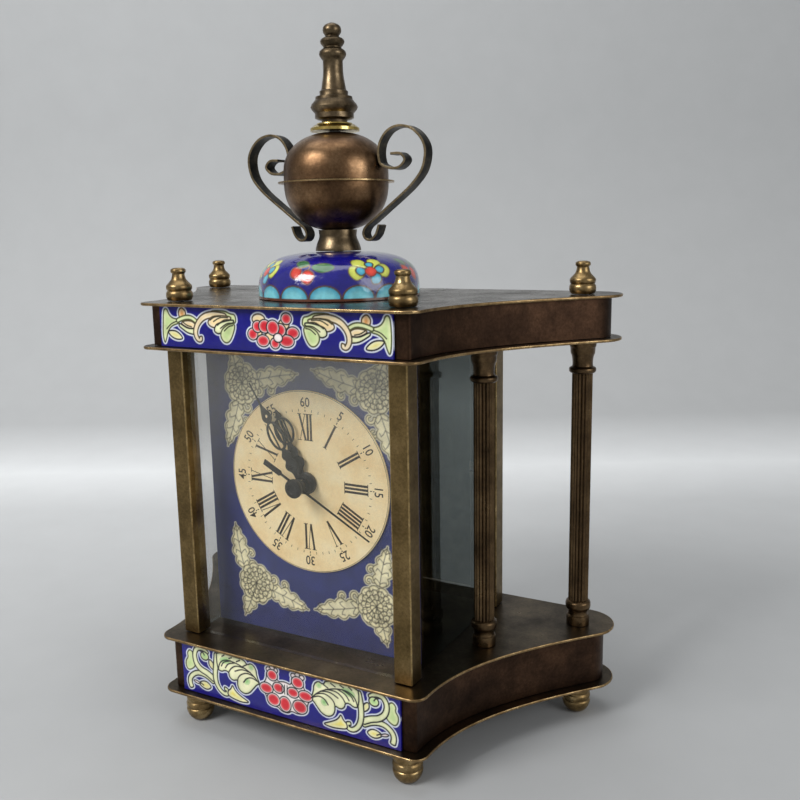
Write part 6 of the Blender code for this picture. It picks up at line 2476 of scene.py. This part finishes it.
@dataclass(frozen=True)
class Studio:
    """Pale floor that sweeps up into a backdrop, with painted light in its colour, soft lamps and a
    grey sky.
    """

    sky: Colour = linear(204, 204, 204)
    sky_strength: float = 0.55
    front: float = -2.0
    bend: float = 0.42
    radius: float = 0.35
    steps: int = 16
    height: float = 2.2
    half_width: float = 2.5
    ramp_start: float = -0.1
    ramp_end: float = 1.3
    tone_reach: float = 0.32
    # Painted shade: the floor and backdrop darken towards the right of the view.
    painted_far_side_shade: float = 0.92
    # Floor tones along the view hold painted light: a painted shadow at the clock's foot and a
    # painted bright band where the floor bends up.
    floor_tones_with_painted_light: tuple[Pair, ...] = ((0.0, 0.45), (0.3, 0.65), (0.42, 0.9), (0.56, 0.52), (1.0, 0.5))
    lamps: tuple[Lamp, ...] = (
        Lamp("key", (-0.85, -0.65, 0.95), (0, 0, 0.16), 0.55, 13.0, (1.0, 0.99, 0.98)),
        Lamp("fill", (0.95, -0.75, 0.55), (0, 0, 0.14), 0.7, 4.6),
        Lamp("top", (-0.1, 0.15, 1.25), (0, 0, 0.2), 0.9, 5.0),
    )

    def build(self, turn: float) -> None:
        """Add the stage, the lamps and the sky.

        Args:
            turn: Angle of the view about Z.
        """
        path = [(self.front, 0.0), (self.bend, 0.0)]
        for step in range(1, self.steps + 1):
            angle = math.pi / 2 * step / self.steps
            path.append((
                self.bend + self.radius * math.sin(angle), self.radius * (1 - math.cos(angle)),
            ))
        path.append((self.bend + self.radius, self.height))
        sweep = outline("studio_sweep", [(-self.half_width, y, z) for y, z in path], filled=False)
        cut_open(sweep)
        with editing(sweep, Kind.EDGE):
            bpy.ops.mesh.extrude_edges_move(TRANSFORM_OT_translate={"value": (2 * self.half_width,
                                                                              0, 0)})
        activate(sweep)
        bpy.ops.object.shade_smooth()
        settle(sweep, turn=(0, 0, turn))
        graph = Graph("studio_paper")
        depth = graph.along((-math.sin(turn), math.cos(turn), 1))
        grain = graph.noise(0.03, 4)
        level = graph.scaled(depth, 0, 1, self.ramp_start, self.ramp_end)
        span = self.ramp_end - self.ramp_start
        # Painted light along the view: shadow at the clock's foot, a bright band at the bend.
        colour = graph.ramp(level, *(
            ((place - self.ramp_start) / span, (tone * 0.975, tone, tone * 1.015, 1))
            for place, tone in self.floor_tones_with_painted_light
        ))
        # Painted shade towards the right of the view.
        aside = graph.along((math.cos(turn), math.sin(turn), 0))
        painted_side_shade = graph.scaled(aside, 1.0, self.painted_far_side_shade, -self.tone_reach, self.tone_reach)
        colour = graph.mix(1.0, colour, painted_side_shade, "MULTIPLY")
        colour = graph.mix(1.0, colour, graph.scaled(grain, 0.985, 1.015, 0.3, 0.7), "MULTIPLY")
        graph.surface(colour, 0.85)
        graph.shader.inputs["Specular IOR Level"].default_value = 0.2
        sweep.data.materials.append(graph.material)

        for lamp in self.lamps:
            lamp.build(turn)
        world = bpy.data.worlds.new("grey_sky")
        bpy.context.scene.world = world
        world.use_nodes = True
        background = world.node_tree.nodes["Background"]
        background.inputs["Color"].default_value = self.sky
        background.inputs["Strength"].default_value = self.sky_strength


def main() -> None:
    """Build and dress the clock, piece by piece."""
    logging.basicConfig(level=logging.INFO, format="%(message)s")
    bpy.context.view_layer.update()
    deselect_all()
    view = Viewpoint()
    view.build()
    assemblies = (
        CasePlates(), EnamelBox("base", Ornament.base_plaque),
        EnamelBox("top", Ornament.top_plaque),
        CasePosts(), TurnedOrnaments(), Dial(), Hands(), EnamelDome(), Urn(), RearDoor(),
        Movement(),
    )
    for assembly in assemblies:
        LOG.info("-- %s", type(assembly).__name__)
        assembly.build()
    Studio().build(view.turn)
    bpy.context.scene.view_settings.view_transform = "Standard"


if __name__ == "__main__":
    main()
